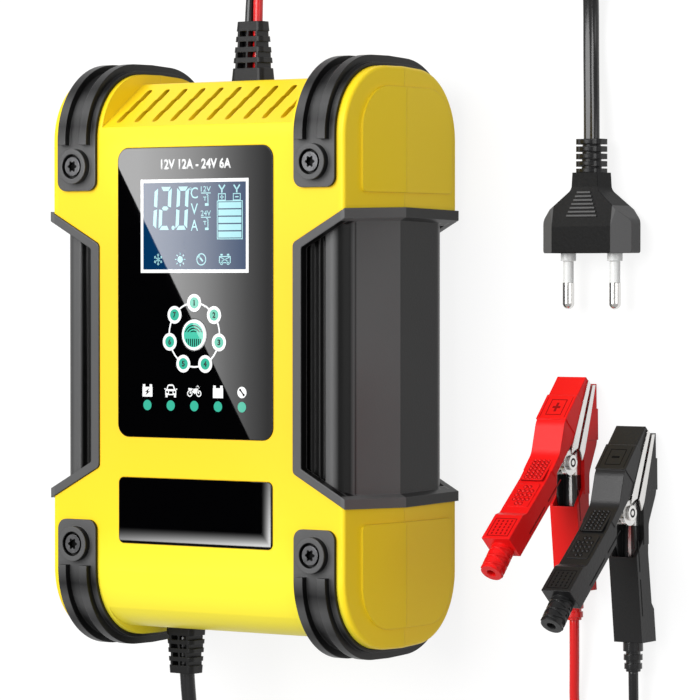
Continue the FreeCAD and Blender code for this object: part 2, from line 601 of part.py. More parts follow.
def make_screws(label, side):
    """Four socket screws, heads down in the bosses of one face."""
    solids, sockets = [], []
    for i, (x, y) in enumerate(strap_spots()):
        if side > 0:
            seat = f"({FRONT} + foot_lift - counter_deep)"
            head, shank, socket = seat, f"{seat} - shank_long", f"{seat} + head_high - socket_deep"
        else:
            seat = "counter_deep"
            head, shank, socket = f"{seat} - head_high", seat, f"{seat} - head_high"
        solids += [rod(f"{label}_head_{i}", (x, y, head), "head_round", "head_high"),
                   rod(f"{label}_shank_{i}", (x, y, shank), "shank_round", "shank_long")]
        sockets.append(solid("Prism", f"{label}_socket_{i}", {
            "Circumradius": "socket_round", "Height": "socket_deep", ".Placement.Base.x": x,
            ".Placement.Base.y": y, ".Placement.Base.z": socket}))
    keep(label, cut(label, join(f"{label}_blanks", solids), join(f"{label}_sockets", sockets)))


# Display panel, button and lights

def make_panel():
    body = new_body("display_panel")
    pad(body, "plate", "XY", [centred("0", "panel_y", "panel_wide", "panel_long", "panel_round")],
        "panel_thick + panel_proud", PANEL_FLOOR)
    pocket(body, "button_hole", "XY", [("circle", "0", "button_y", "button_round + fit_gap")],
           "panel_thick + 2", f"{FRONT} + 1")


def make_plate():
    body = new_body("name_plate")
    pad(body, "plate", "XY", [centred("0", "plate_y", "plate_wide", "plate_tall", "plate_round")],
        "plate_thick + plate_proud", f"{FRONT} - plate_thick")


def make_button():
    body = new_body("mode_button")
    flange_low = f"({LEDGE} - flange_gap - flange_thick)"
    cap = f"({FRONT} + button_proud - {flange_low})"
    pad(body, "cap", "XY", [("circle", "0", "button_y", "button_round")], cap, flange_low)
    pad(body, "flange", "XY", [("circle", "0", "button_y", "flange_round")], "flange_thick", flange_low)
    doc.recompute()
    top = number(f"{FRONT} + button_proud")
    base = body.Tip
    names = [f"Edge{row}" for row, edge in enumerate(base.Shape.Edges, 1)
             if abs(edge.CenterOfMass.z - top) < 0.01]
    soft = body.newObject("PartDesign::Fillet", "soft_rim")
    soft.Base = (base, names)
    soft.setExpression("Radius", bound("cap_round"))


def make_switch():
    """Push switch on the display board, and the plunger that the button rests on."""
    low = DISPLAY_TOP
    flange_low = f"({LEDGE} - flange_gap - flange_thick)"
    case = box_about("switch_case", "0", "button_y", low, ("switch_wide", "switch_wide", "switch_high"))
    bore = rod("switch_bore", ("0", "button_y", f"{low} + 0.3"), "plunger_bore", "switch_high")
    keep("push_switch", cut("push_switch", case, bore))
    foot = f"({low} + switch_high - plunger_sink)"
    keep("switch_plunger", rod("switch_plunger", ("0", "button_y", foot), "plunger_round",
                               f"{flange_low} - {foot}"))


def make_lights():
    high = f"{PANEL_FLOOR} - {DISPLAY_TOP}"
    stages = [rod(f"stage_{i}", (x, y, DISPLAY_TOP), "stage_round", high)
              for i, (x, y) in enumerate(stage_spots())]
    keep("stage_lights", join("stage_lights", stages))
    types = [rod(f"type_{i}", (x, "type_y", DISPLAY_TOP), "type_round", high)
             for i, x in enumerate(type_places())]
    keep("type_lights", join("type_lights", types))


def make_display():
    keep("lcd_module", box_about("lcd_module", "0", "lcd_y", DISPLAY_TOP,
                                 ("lcd_wide", "lcd_tall", f"{PANEL_FLOOR} - {DISPLAY_TOP}")))
    board = box_about("display_sheet", "0", "panel_y + 1", f"{DISPLAY_TOP} - board_thick",
                      ("display_wide", "display_long", "board_thick"))
    pegs = [(f"{x} * peg_x", y) for x in (1, -1) for y in ("peg_high", "peg_low")]
    holes = [rod(f"display_hole_{i}", (x, y, f"{DISPLAY_TOP} - 2 * board_thick"), "board_hole",
                 "3 * board_thick") for i, (x, y) in enumerate(pegs)]
    keep("display_board", cut("display_board", board, join("display_holes", holes)))
    screws = []
    for i, (x, y) in enumerate(pegs):
        low = f"({DISPLAY_TOP} - board_thick)"
        screws += [rod(f"display_head_{i}", (x, y, f"{low} - small_head_high"), "small_head",
                       "small_head_high"),
                   rod(f"display_shank_{i}", (x, y, low), "small_shank", "board_thick + 3.4")]
    keep("display_screws", join("display_screws", screws))


# Main board

def make_main_board():
    board = box_about("main_sheet", "0", "main_y", BOARD_LOW, ("main_wide", "main_long", "board_thick"))
    stands = [(f"{x} * standoff_x", f"main_y + {y} * standoff_y") for x in (1, -1) for y in (1, -1)]
    holes = [rod(f"main_hole_{i}", (x, y, f"{BOARD_LOW} - 1"), "main_hole", "board_thick + 2")
             for i, (x, y) in enumerate(stands)]
    keep("main_board", cut("main_board", board, join("main_holes", holes)))
    screws = []
    for i, (x, y) in enumerate(stands):
        screws += [rod(f"main_head_{i}", (x, y, BOARD_TOP), "main_head", "main_head_high"),
                   rod(f"main_shank_{i}", (x, y, f"{BOARD_TOP} - 9"), "main_shank", "9")]
    keep("main_screws", join("main_screws", screws))


def make_power_parts():
    yokes = [box_about(f"core_yoke_{i}", "wound_x", f"wound_y + {way} * yoke_apart / 2", BOARD_TOP,
                       ("yoke_wide", "yoke_thick", "yoke_high")) for i, way in enumerate((1, -1))]
    limb = box_about("core_limb", "wound_x", "wound_y", f"{BOARD_TOP} + 8", ("12", "yoke_apart", "10"))
    winding = rod("winding", ("wound_x", "wound_y", f"{BOARD_TOP} + 1.5"), "winding_round", "winding_high")
    base = box_about("bobbin", "wound_x", "wound_y", BOARD_TOP,
                     ("yoke_wide - yoke_thick", "yoke_apart - yoke_thick", "3"))
    keep("transformer", join("transformer", yokes + [limb, winding, base]))
    ring = solid("Torus", "choke_ring", {
        "Radius1": "choke_round", "Radius2": "choke_wire", ".Placement.Base.x": "choke_x",
        ".Placement.Base.y": "choke_y", ".Placement.Base.z": f"{BOARD_TOP} + 1.2 * choke_wire"})
    seat = box_about("choke_seat", "choke_x", "choke_y", BOARD_TOP, ("choke_base", "choke_base", "2"))
    keep("choke", join("choke", [ring, seat]))
    cans = [rod("input_can", ("big_can_x", "big_can_y", BOARD_TOP), "big_can_round", "big_can_high")]
    cans += [rod(f"output_can_{i}", (f"can_x + {i} * can_pitch", "can_y", BOARD_TOP), "can_round", "can_high")
             for i in range(3)]
    keep("capacitors", join("capacitors", cans))
    keep("relay", box_about("relay", "relay_x", "relay_y", BOARD_TOP, ("18", "16", "15.5")))
    sinks, packs = [], []
    for i in range(2):
        web = f"(sink_x + {i} * sink_pitch)"
        fin = f"{web} + (sink_thick + fin_long) / 2 - 0.1"
        pack = f"{web} - (sink_thick + pack_thick) / 2"
        sinks.append(box_about(f"sink_web_{i}", web, "sink_y", BOARD_TOP,
                               ("sink_thick", "sink_long", "sink_high")))
        for k in range(6):
            y = f"sink_y + {k - 2.5} * fin_pitch"
            sinks.append(box_about(f"sink_fin_{i}_{k}", fin, y, BOARD_TOP,
                                   ("fin_long", "fin_thick", "sink_high")))
        for k in range(2):
            y = f"pack_y + {k} * pack_pitch"
            packs.append(box_about(f"pack_{i}_{k}", pack, y, f"{BOARD_TOP} + leg_high",
                                   ("pack_thick", "pack_wide", "pack_high")))
            packs.append(box_about(f"legs_{i}_{k}", pack, y, BOARD_TOP,
                                   ("leg_thick", "pack_wide / 1.5", "leg_high")))
    keep("heat_sinks", join("heat_sinks", sinks))
    keep("power_transistors", join("power_transistors", packs))


# Cooling fan, axis upright, over the grille

def make_fan():
    frame = new_body("fan_frame")
    pad(frame, "square", "XY", [centred("0", "fan_y", "fan_wide", "fan_wide", "3")], "fan_thick", INSIDE_BACK)
    pocket(frame, "bore", "XY", [("circle", "0", "fan_y", "fan_bore")], "fan_thick + 2",
           f"{INSIDE_BACK} + fan_thick + 1")
    span = "(fan_wide - 1.6)"
    pad(frame, "long_arm", "XY", [centred("0", "fan_y", "arm_wide", span)], "arm_thick", INSIDE_BACK)
    pad(frame, "cross_arm", "XY", [centred("0", "fan_y", span, "arm_wide")], "arm_thick", INSIDE_BACK)
    pad(frame, "motor", "XY", [("circle", "0", "fan_y", "hub_round - 1.5")], "motor_high", INSIDE_BACK)
    pocket(frame, "bearing", "XY", [("circle", "0", "fan_y", "shaft_bore")], "bearing_deep",
           f"{INSIDE_BACK} + motor_high")
    corner = [("circle", f"{x} * fan_hole_at", f"fan_y + {y} * fan_hole_at", "fan_hole")
              for x in (1, -1) for y in (1, -1)]
    pocket(frame, "corner_holes", "XY", corner, "fan_thick + 2", f"{INSIDE_BACK} + fan_thick + 1")
    low = f"({INSIDE_BACK} + motor_high + rotor_gap)"
    tall = "(fan_thick - motor_high - rotor_gap - 0.5)"
    hub = rod("rotor_hub", ("0", "fan_y", low), "hub_round", tall)
    shaft = rod("rotor_shaft", ("0", "fan_y", f"{low} - bearing_deep"), "shaft_round", "bearing_deep + 0.5")
    sweep = rod("rotor_sweep", ("0", "fan_y", low), "blade_reach", tall)
    blades = []
    middle = vector(0, -number("blade_wide") / 2, -number("blade_thick") / 2)
    tilt = FreeCAD.Rotation(vector(1, 0, 0), BLADE_TILT)
    for i in range(BLADES):
        spin = FreeCAD.Rotation(vector(0, 0, 1), 360 * i / BLADES)
        blade = solid("Box", f"blade_{i}", {"Length": "blade_reach", "Width": "blade_wide",
                                            "Height": "blade_thick"})
        blade.Placement.Rotation = spin.multiply(tilt)
        shift = spin.multVec(tilt.multVec(middle))
        bind(blade, {".Placement.Base.x": f"{shift.x:.6f}", ".Placement.Base.y": f"fan_y + {shift.y:.6f}",
                     ".Placement.Base.z": f"{low} + {tall} / 2 + {shift.z:.6f}"})
        blades.append(blade)
    disc = doc.addObject("Part::MultiCommon", "blade_trim")
    disc.Shapes = [join("blade_set", blades), sweep]
    keep("fan_rotor", join("fan_rotor", [hub, shaft, disc]))


# Strain reliefs in the end walls

def make_relief(label, x, end, base, tip, long, bores):
    """Tapered sleeve with cross slots, which are deep and shallow by turns."""
    body = new_body(label)
    inner_face = "(mid_end - wall - fit_gap)"

    def outline(name, size, more, y):
        wide, deep = f"({size}_wide + {more})", f"({size}_deep + {more})"
        loop = rectangle(f"{x} - {wide}", f"{PARTING} - {deep}",
                         f"{x} + {wide}", f"{PARTING} + {deep}", "relief_soft")
        return sketch_on(body, name + "_sketch", "XZ", [loop], f"-({end} * ({y}))")

    def block(name, more, y, deep, outward):
        sketch = outline(name, base, more, y)
        feature = body.newObject("PartDesign::Pad", name)
        feature.Profile = sketch
        feature.setExpression("Length", bound(deep))
        feature.Reversed = outward == (end > 0)

    block("collar", "collar_lip", inner_face, "relief_collar", False)
    block("neck", "0", f"({inner_face} - 0.5)", "wall + fit_gap + 0.5", True)
    foot = outline("sleeve_foot", base, "0", "mid_end")
    nose = outline("sleeve_nose", tip, "0", f"mid_end + {long}")
    sleeve = body.newObject("PartDesign::AdditiveLoft", "sleeve")
    sleeve.Profile = foot
    sleeve.Sections = [nose]
    slots = []
    for i in range(RELIEF_SLOTS):
        start = RELIEF_FIRST + RELIEF_STEP * i
        low = f"{end} * (mid_end + {long} * {start:.3f})"
        high = f"{end} * (mid_end + {long} * {start + RELIEF_STEP / 2:.3f})"
        near, far = (low, high) if end > 0 else (high, low)
        side = f"{base}_wide + ({tip}_wide - {base}_wide) * {(i + 1) / (RELIEF_SLOTS + 1):.2f}"
        notch = f"({side} - {'notch_shallow' if i % 2 else 'notch_deep'})"
        for way in (1, -1):
            outer = [f"{x} + {way} * {notch}", f"{x} + {way} * ({base}_wide + 1)"]
            inner = [f"{x} + {way} * relief_bar / 2", f"{x} + {way} * ({notch} - notch_rib)"]
            for span in (outer, inner):
                left, right = span[::way]
                slots.append(rectangle(left, near, right, far))
    pocket(body, "cross_slots", "XY", slots, "2 * front_deep", f"{PARTING} + front_deep")
    wire = "core_round" if len(bores) > 1 else "mains_round"
    holes = [("circle", f"{x} + {shift}", PARTING, f"({wire} + 0.05)") for shift in bores]
    pocket(body, "lead_bores", "XZ", holes, "6 * block_end")


# Two-pin plug, flat on the surface, pins towards -Y

def make_plug():
    body = new_body("plug_body")
    mid = "(plug_thick / 2)"
    face = "plug_face_y"
    straight = f"({face} + plug_straight)"
    neck = f"({straight} + plug_shoulder)"
    tail = f"({neck} + plug_neck)"
    half = "(plug_wide / 2)"
    outline = [(f"plug_x - {half}", face, "1"), (f"plug_x + {half}", face, "1"),
               (f"plug_x + {half}", straight, "3"), ("plug_x + neck_wide / 2", neck, "3"),
               ("plug_x + neck_wide / 2 - 0.4", tail), ("plug_x - neck_wide / 2 + 0.4", tail),
               ("plug_x - neck_wide / 2", neck, "3"), (f"plug_x - {half}", straight, "3")]
    pad(body, "block", "XY", [outline], "plug_thick", "0")
    wedges = []
    for x in (1, -1):
        for z in (1, -1):
            inner, outer = f"plug_x + {x} * ({half} - facet_wide)", f"plug_x + {x} * ({half} + 1)"
            face_z, above = f"{mid} + {z} * {mid}", f"{mid} + {z} * ({mid} + 1)"
            wedges.append([(inner, above), (inner, face_z), (outer, f"{mid} + {z} * ({mid} - facet_deep)"),
                           (outer, above)])
    pocket(body, "side_facets", "XZ", wedges, "plug_straight + plug_shoulder + 9", f"-({face} - 1)")
    tapers = [[(f"{straight} - 2", f"{mid} + {z} * {mid}"), (f"{neck} + 1", f"{mid} + {z} * neck_thick / 2"),
               (f"{tail} + 1", f"{mid} + {z} * neck_thick / 2"), (f"{tail} + 1", f"{mid} + {z} * ({mid} + 1)"),
               (f"{straight} - 2", f"{mid} + {z} * ({mid} + 1)")] for z in (1, -1)]
    pocket(body, "neck_tapers", "YZ", tapers, "plug_wide + 4", f"plug_x + {half} + 2")
    seats = [("circle", f"plug_x + {x} * pin_apart / 2", mid, "sleeve_round") for x in (1, -1)]
    pocket(body, "pin_seats", "XZ", seats, "pin_seat + 1", f"-({face} - 1)")

    relief = new_body("plug_relief")
    rings = 5
    pitch = "(plug_relief / 5)"
    points = [("mains_round + 0.05", "0")]
    for i in range(rings):
        wide = f"(neck_thick / 2 + 0.1 - {i} * 0.1)"
        start = f"({i} * {pitch})"
        end = f"{start} + {pitch} * 0.55"
        points += [(wide, start), (wide, end)]
        if i < rings - 1:
            points += [(f"{wide} - ring_groove", end), (f"{wide} - ring_groove", f"{start} + {pitch}")]
    points.append(("mains_round + 0.05", points[-1][1]))
    turned("Revolution", relief, "ribs", [points])
    foot = vector(number("plug_x"), number(tail), number(mid))
    relief.Placement = FreeCAD.Placement(foot, FreeCAD.Rotation())


def lying(name, x, y, z, radius, long):
    """A rod along +Y."""
    thing = solid("Cylinder", name, {"Radius": radius, "Height": long, ".Placement.Base.x": x,
                                     ".Placement.Base.y": y, ".Placement.Base.z": z})
    thing.Placement.Rotation = FreeCAD.Rotation(vector(1, 0, 0), -90)
    bind(thing, {".Placement.Base.x": x, ".Placement.Base.y": y, ".Placement.Base.z": z})
    return thing


def make_pins():
    mid = "(plug_thick / 2)"
    tip = "(plug_face_y - pin_long)"
    pins, sleeves, bores = [], [], []
    for i, way in enumerate((1, -1)):
        x = f"plug_x + {way} * pin_apart / 2"
        bare = "(pin_long - sleeve_long)"
        ball = solid("Sphere", f"pin_nose_{i}", {"Radius": "pin_round", ".Placement.Base.x": x,
                                                 ".Placement.Base.y": f"{tip} + pin_round",
                                                 ".Placement.Base.z": mid})
        pins += [ball, lying(f"pin_bare_{i}", x, f"{tip} + pin_round", mid, "pin_round", f"{bare} - pin_round"),
                 lying(f"pin_core_{i}", x, f"{tip} + pin_round", mid, "pin_core",
                       "pin_long + pin_seat - pin_round - 1")]
        start = f"({tip} + {bare})"
        sleeves.append(lying(f"sleeve_{i}", x, start, mid, "sleeve_round", "sleeve_long + 2"))
        sleeves.append(lying(f"sleeve_collar_{i}", x, "plug_face_y - collar_long", mid, "collar_round",
                             "collar_long"))
        bores.append(lying(f"sleeve_bore_{i}", x, f"{start} - 1", mid, "pin_core", "sleeve_long + 4"))
    keep("plug_pins", join("plug_pins", pins))
    keep("pin_sleeves", cut("pin_sleeves", join("sleeve_blanks", sleeves), join("sleeve_bores", bores)))


# Spring clamps. A half lies along Y with its jaw at +Y, the pivot at the origin
# and its outside facing down; the upper half is the same form, turned over.

BITE = "tan(bite_angle)"
HANDLE_OUT = "(pivot_high - handle_step)"
HANDLE_END = "(handle_long - handle_start)"
WIRE_LEVEL = f"(handle_thick / 2 - {HANDLE_OUT} - handle_flare * ({HANDLE_END} - end_block / 2))"


def cover_profile(tip, proud):
    """Side view of one plastic cover, jaw part only."""
    low = f"-(pivot_high + {proud})"
    return [(tip, low), (tip, f"-{tip} * {BITE} - 1.9"), ("8", f"-8 * {BITE} - 2.4"), ("-9", "-6"),
            ("-11", "-6"), ("-11", "-(pivot_high - handle_step)"), ("-4", "-(pivot_high - handle_step)", "6"),
            ("6", low, "6")]


def make_cover(label, jaw_wide, nub):
    body = new_body(label)
    outer = HANDLE_OUT
    inner = f"(handle_thick - {HANDLE_OUT})"
    flare = f"handle_flare * {HANDLE_END}"
    pad(body, "jaw_cover", "YZ", [cover_profile("jaw_long", "0")], "cover_wide - 0.5")
    frame = [("frame_near", "-(pivot_high + frame_proud)"), ("frame_far", "-(pivot_high + frame_proud)"),
             ("frame_far", f"-frame_far * {BITE} - 2"), ("frame_near", f"-frame_near * {BITE} - 2.6")]
    pad(body, "frame_band", "YZ", [frame], "cover_wide")
    block = f"-{outer} - handle_flare * ({HANDLE_END} - end_block)"
    handle = [("-9", f"-{outer}"), ("-9", "-6"), ("-handle_start", inner, "0.8"),
              ("-handle_long", f"{inner} - {flare}"), ("-handle_long", f"-{outer} - {flare} - end_proud"),
              ("-(handle_long - end_block)", f"{block} - end_proud"), ("-(handle_long - end_block - 2)", block),
              ("-handle_start", f"-{outer}", "6")]
    pad(body, "handle", "YZ", [handle], "handle_wide")
    floor, roof = f"-({outer} - cover_wall - 0.2)", f"{inner} - 1.2"
    end = "-(handle_long - end_block)"
    hollow = [("jaw_long + 1", "-(pivot_high - cover_wall)"), ("6", "-(pivot_high - cover_wall)"),
              ("-4", floor), (end, floor), (end, f"{roof} - handle_flare * ({HANDLE_END} - end_block)"),
              ("-handle_start - 1", roof), ("-handle_start + 1.5", "3"), ("jaw_long + 1", "3")]
    pocket(body, "hollow", "YZ", [hollow], f"{jaw_wide} + fit_gap")
    middle = WIRE_LEVEL
    if nub:
        pad(body, "nub", "XZ", [("circle", "0", middle, "nub_round")], "clamp_relief", "handle_long")
        pocket(body, "nub_hole", "XZ", [("circle", "0", middle, "nub_bore")], "clamp_relief - 1",
               "handle_long + clamp_relief")
        grooves = []
        for i in range(3):
            low = f"(-handle_long - {2.2 + 2.7 * i})"
            near, far = "(nub_round - 0.6)", "(nub_round + 0.8)"
            grooves.append(rectangle(near, f"{low} - 1.3", far, low))
            grooves.append(rectangle(f"-{far}", f"{low} - 1.3", f"-{near}", low))
        pocket(body, "nub_grooves", "XY", grooves, "16", "8")
    else:
        pocket(body, "wire_bore", "XZ", [("circle", "0", middle, "mouth_round")], "end_block + 4",
               "handle_long + 1")
    return body


def tooth_line(y, deep="0"):
    return f"-({y}) * {BITE} - 0.15 - {deep}"


def make_jaw(label, jaw_wide):
    body = new_body(label)
    floor = "-(pivot_high - cover_wall)"
    tail = "-(pivot_high - handle_step - cover_wall - 0.2)"
    teeth = int(number("teeth"))
    pitch = f"((jaw_long - 9.4) / {teeth})"
    points = [("jaw_long - 0.4", floor), ("jaw_long - 0.4", tooth_line("jaw_long - 0.4", "0.2"))]
    for i in range(teeth):
        start = f"(jaw_long - 0.4 - {pitch} * {i})"
        root = f"({start} - {pitch} * 0.45)"
        crest = f"({start} - {pitch} * 0.9)"
        points += [(root, tooth_line(root, "tooth_deep")), (crest, tooth_line(crest))]
    points += [("8.4", tooth_line("8.4", "1.4")), ("4", "-3.6"), ("-4.5", "-2.6"), ("-26", f"{tail} + 1.8"),
               ("-26", tail), ("-4", tail), ("6", floor)]
    pad(body, "sides", "YZ", [points], jaw_wide)
    pad(body, "ears", "YZ", [("circle", "0", "0", "ear_round")], jaw_wide)
    channel = [("jaw_long + 1", f"{floor} + jaw_wall"), ("6 + jaw_wall / 3", f"{floor} + jaw_wall"),
               ("-4 + jaw_wall / 3", f"{tail} + jaw_wall"), ("-27", f"{tail} + jaw_wall"), ("-27", "9"),
               ("jaw_long + 1", "9")]
    pocket(body, "channel", "YZ", [channel], f"{jaw_wide} - 2 * jaw_wall")
    pocket(body, "pin_hole", "YZ", [("circle", "0", "0", "pin_bore")], "3 * jaw_wide")
    return body


def make_pivot(label):
    body = new_body(label)
    pad(body, "shank", "YZ", [("circle", "0", "0", "rivet_round")], "jaw_wide + 0.2")
    head = [("circle", "0", "0", "rivet_head")]
    pad(body, "head_right", "YZ", head, "rivet_thick", "jaw_wide / 2 + 0.1")
    pad(body, "head_left", "YZ", head, "rivet_thick", "-(jaw_wide / 2 + 0.1 + rivet_thick)")
    return body


def make_clamp_relief(label):
    """Ribbed sleeve on the wire, in the lower half's end."""
    body = new_body(label)
    neck = "(mouth_round - 0.05)"
    points = [("core_round + 0.05", "-3"), (neck, "-3"), (neck, "0"), ("sleeve_rib", "0")]
    for i in range(3):
        start = 1.2 + 3 * i
        wide = f"(sleeve_rib - {0.18 * i:.2f})"
        if i:
            points.append((wide, f"{start:.2f}"))
        points += [(wide, f"{start + 1.9:.2f}"), ("sleeve_core", f"{start + 1.9:.2f}"),
                   ("sleeve_core", f"{start + 3:.2f}")]
    points[-1] = ("sleeve_core", "clamp_relief")
    points.append(("core_round + 0.05", "clamp_relief"))
    turned("Revolution", body, "ribs", [points])
    return body


def round_path(points):
    """Straight runs joined by tangent arcs as large as the runs allow."""
    edges, last, tightest = [], points[0], None
    for i in range(1, len(points) - 1):
        here = points[i]
        way_in = (here - points[i - 1]).normalize()
        way_out = (points[i + 1] - here).normalize()
        half = way_in.getAngle(way_out) / 2
        reach = 0.45 * min((here - points[i - 1]).Length, (points[i + 1] - here).Length)
        radius = reach / math.tan(half)
        tightest = radius if tightest is None else min(tightest, radius)
        start, end = here - way_in * reach, here + way_out * reach
        inward = (way_out - way_in).normalize()
        middle = here + inward * (radius / math.cos(half) - radius)
        edges.append(Part.LineSegment(last, start).toShape())
        edges.append(Part.Arc(start, middle, end).toShape())
        last = end
    edges.append(Part.LineSegment(last, points[-1]).toShape())
    return Part.Wire(edges), tightest


def tube(label, points, radius):
    path, tightest = round_path(points)
    way = (points[1] - points[0]).normalize()
    section = Part.Wire([Part.Circle(points[0], way, radius).toShape()])
    shape = path.makePipeShell([section], True, False)
    expected = math.pi * radius ** 2 * path.Length
    print(f"{label}: length {path.Length:.1f}, tightest radius {tightest:.1f}, "
          f"volume {shape.Volume / expected:.4f} of section x length")
    return shaped(label, shape)


def half_arcs(start, way_in, end, way_out):
    """Two tangent arcs between two points with given directions."""
    span = end - start
    both = way_in + way_out
    spread = 2 * (1 - way_in * way_out)
    reach = (-(span * both) + math.sqrt((span * both) ** 2 + spread * (span * span))) / spread
    joint = (start + way_in * reach + end - way_out * reach) * 0.5
    arcs = []
    for foot, way, tip in ((start, way_in, joint), (end, way_out * -1, joint)):
        chord = tip - foot
        along = chord * (1 / chord.Length)
        out = way - along * (way * along)
        angle = way.getAngle(along)
        bulge = (foot + tip) * 0.5 + out.normalize() * (chord.Length / 2 * math.tan(angle / 2))
        ends = (foot, bulge, tip) if foot is start else (tip, bulge, foot)
        arcs.append(Part.Arc(*ends).toShape())
    return arcs


def make_spring(label):
    """Torsion spring round the pivot: a leg, the coil, a leg."""
    turns = int(number("spring_turns"))
    pitch, radius, wire = number("spring_pitch"), number("spring_round"), number("spring_wire")
    bite = math.radians(number("bite_angle"))
    first = math.radians(-90)
    last = first - math.radians(360 * turns) + math.radians(180) - 2 * bite
    steps = 4 * turns
    spots, ways = [], []
    for k in range(steps + 1):
        angle = first + (last - first) * k / steps
        x = pitch * (angle - (first + last) / 2) / (2 * math.pi)
        spots.append(vector(x, radius * math.cos(angle), radius * math.sin(angle)))
        rise = pitch / (2 * math.pi) if 0 < k < steps else 0
        ways.append(vector(-rise, radius * math.sin(angle), -radius * math.cos(angle)).normalize())
    long = number("spring_leg")
    start = spots[0] - ways[0] * long
    edges = [Part.LineSegment(start, spots[0]).toShape()]
    for k in range(steps):
        edges += half_arcs(spots[k], ways[k], spots[k + 1], ways[k + 1])
    edges.append(Part.LineSegment(spots[-1], spots[-1] + ways[-1] * long).toShape())
    path = Part.Wire(edges)
    section = Part.Wire([Part.Circle(start, ways[0], wire).toShape()])
    shape = path.makePipeShell([section], True, False)
    points = [edge.valueAt(edge.FirstParameter + (edge.LastParameter - edge.FirstParameter) * t / 6)
              for edge in edges[1:-1] for t in range(6)]
    apart = len(points) // (turns + 1)
    gap = min((a - b).Length for i, a in enumerate(points) for b in points[i + apart:]) - 2 * wire
    print(f"{label}: {turns} turns, least gap between turns {gap:.2f}")
    return shaped(label, shape)


def make_clamp(colour, x, y):
    parts = ("lower_cover", "lower_jaw", "pivot_pin", "clamp_spring", "clamp_relief", "upper_cover",
             "upper_jaw")
    names = [f"{colour}_{part}" for part in parts]
    make_cover(names[0], "jaw_wide", False)
    make_jaw(names[1], "jaw_wide")
    make_pivot(names[2])
    make_spring(names[3])
    make_clamp_relief(names[4])
    inner_wide = "(jaw_wide - 2 * jaw_wall - 2 * fit_gap)"
    make_cover(names[5], inner_wide, True)
    make_jaw(names[6], inner_wide)
    doc.recompute()
    middle = number(WIRE_LEVEL)
    drop = number(f"pivot_high + frame_proud - {HANDLE_OUT} - handle_flare * {HANDLE_END} - end_proud")
    lean = math.degrees(math.atan2(drop, number("handle_long + frame_near")))
    tilt = FreeCAD.Rotation(vector(1, 0, 0), lean)
    resting = nodes[names[0]].Shape.copy()
    resting.Placement = FreeCAD.Placement(vector(), tilt)
    pivot = vector(number(x), number(y), -resting.optimalBoundingBox().ZMin)
    lower = FreeCAD.Placement(pivot, tilt)
    over = FreeCAD.Rotation(vector(0, 1, 0), 180)
    swing = FreeCAD.Rotation(vector(1, 0, 0), -2 * number("bite_angle"))
    for name in names[:4]:
        nodes[name].Placement = lower
    end = vector(0, -number("handle_long"), middle)
    facing = FreeCAD.Rotation(vector(0, 0, 1), 180)
    nodes[names[4]].Placement = lower.multiply(FreeCAD.Placement(end, facing))
    for name in names[5:]:
        nodes[name].Placement = lower.multiply(FreeCAD.Placement(vector(), swing.multiply(over)))
    mouth = lower.multVec(vector(0, -number("handle_long + clamp_relief"), middle))
    out = tilt.multVec(vector(0, -1, 0))
    print(f"{colour} clamp: pivot {pivot.x:.2f} {pivot.y:.2f} {pivot.z:.3f}, lean {lean:.2f}, "
          f"wire leaves at {mouth.x:.2f} {mouth.y:.2f} {mouth.z:.2f}")
    return mouth, out


def make_leads(red_end, black_end):
    """Free leads: hand-chosen route points, in millimetres."""
    exit_y, level = number("mid_end + 1.5"), number(PARTING)
    side, floor = number("core_apart") / 2, number("core_round") + 0.03
    red = [(side, exit_y, level), (side, 128, level), (3, 159.5, 34.5), (20, 174, 21), (51, 174, 7),
           (90, 166, floor), (140, 162, floor), (174, 146, floor), (187, 104, floor), (184, 52, floor),
           (188, 0, floor), (184, -52, floor), (188, -102, floor), (186, -138, floor),
           (170, -158, floor), (142, -163, floor), (119, -148, floor), (red_end[0].x, -124, floor)]
    black = [(-side, exit_y, level), (-side, 124, level), (-2, 150.5, 30), (7, 164, 16), (32, 165, 6),
             (64, 157, floor), (108, 153, floor), (150, 147, floor), (177, 118, floor), (175, 68, floor),
             (179, 16, floor), (175, -40, floor), (180.5, -98.5, floor), (180.5, -136, floor),
             (167.7, -148.9, floor), (149.6, -148.9, floor), (black_end[0].x, -136, floor)]
    for label, route, (mouth, out) in (("red_lead", red, red_end), ("black_lead", black, black_end)):
        points = [vector(*spot) for spot in route]
        points += [mouth + out * 12, mouth - out]
        tube(label, points, number("core_round"))
    low = number("mains_round") + 0.03
    high = number("plug_thick / 2")
    end_y = number("plug_face_y + plug_straight + plug_shoulder + plug_neck")
    x, plug = number("mains_x"), number("plug_x")
    mains = [(x, -exit_y, level), (x, -131, level), (-24, -163, 25.5), (4, -177, 9), (60, -173, low),
             (118, -177, low), (170, -174, low), (202, -134, low), (199, -70, low), (203, -6, low),
             (199, 58, low), (203, 116, low), (198, 148, low), (184, 166, low), (164, 174.5, 6),
             (143, 170, 11), (128, 157.5, 12), (121.5, 139.5, 9.5), (plug, 120, 4), (plug, 103, 3.2),
             (plug, 82, high), (plug, end_y + 1, high)]
    tube("mains_lead", [vector(*spot) for spot in mains], number("mains_round"))


def check_and_write():
    doc.recompute()
    bad = [thing.Name for thing in doc.Objects if "Invalid" in thing.State or "Error" in thing.State]
    bad += [label for label, thing in nodes.items() if thing.Shape.isNull() or not thing.Shape.isValid()
            or not thing.Shape.Solids]
    if bad:
        raise RuntimeError(f"these did not build: {bad}")
    for label, thing in nodes.items():
        thing.Label = label
        thing.Shape.exportStep(f"parts/{label}.step")
    print(f"{len(nodes)} sub-parts written")


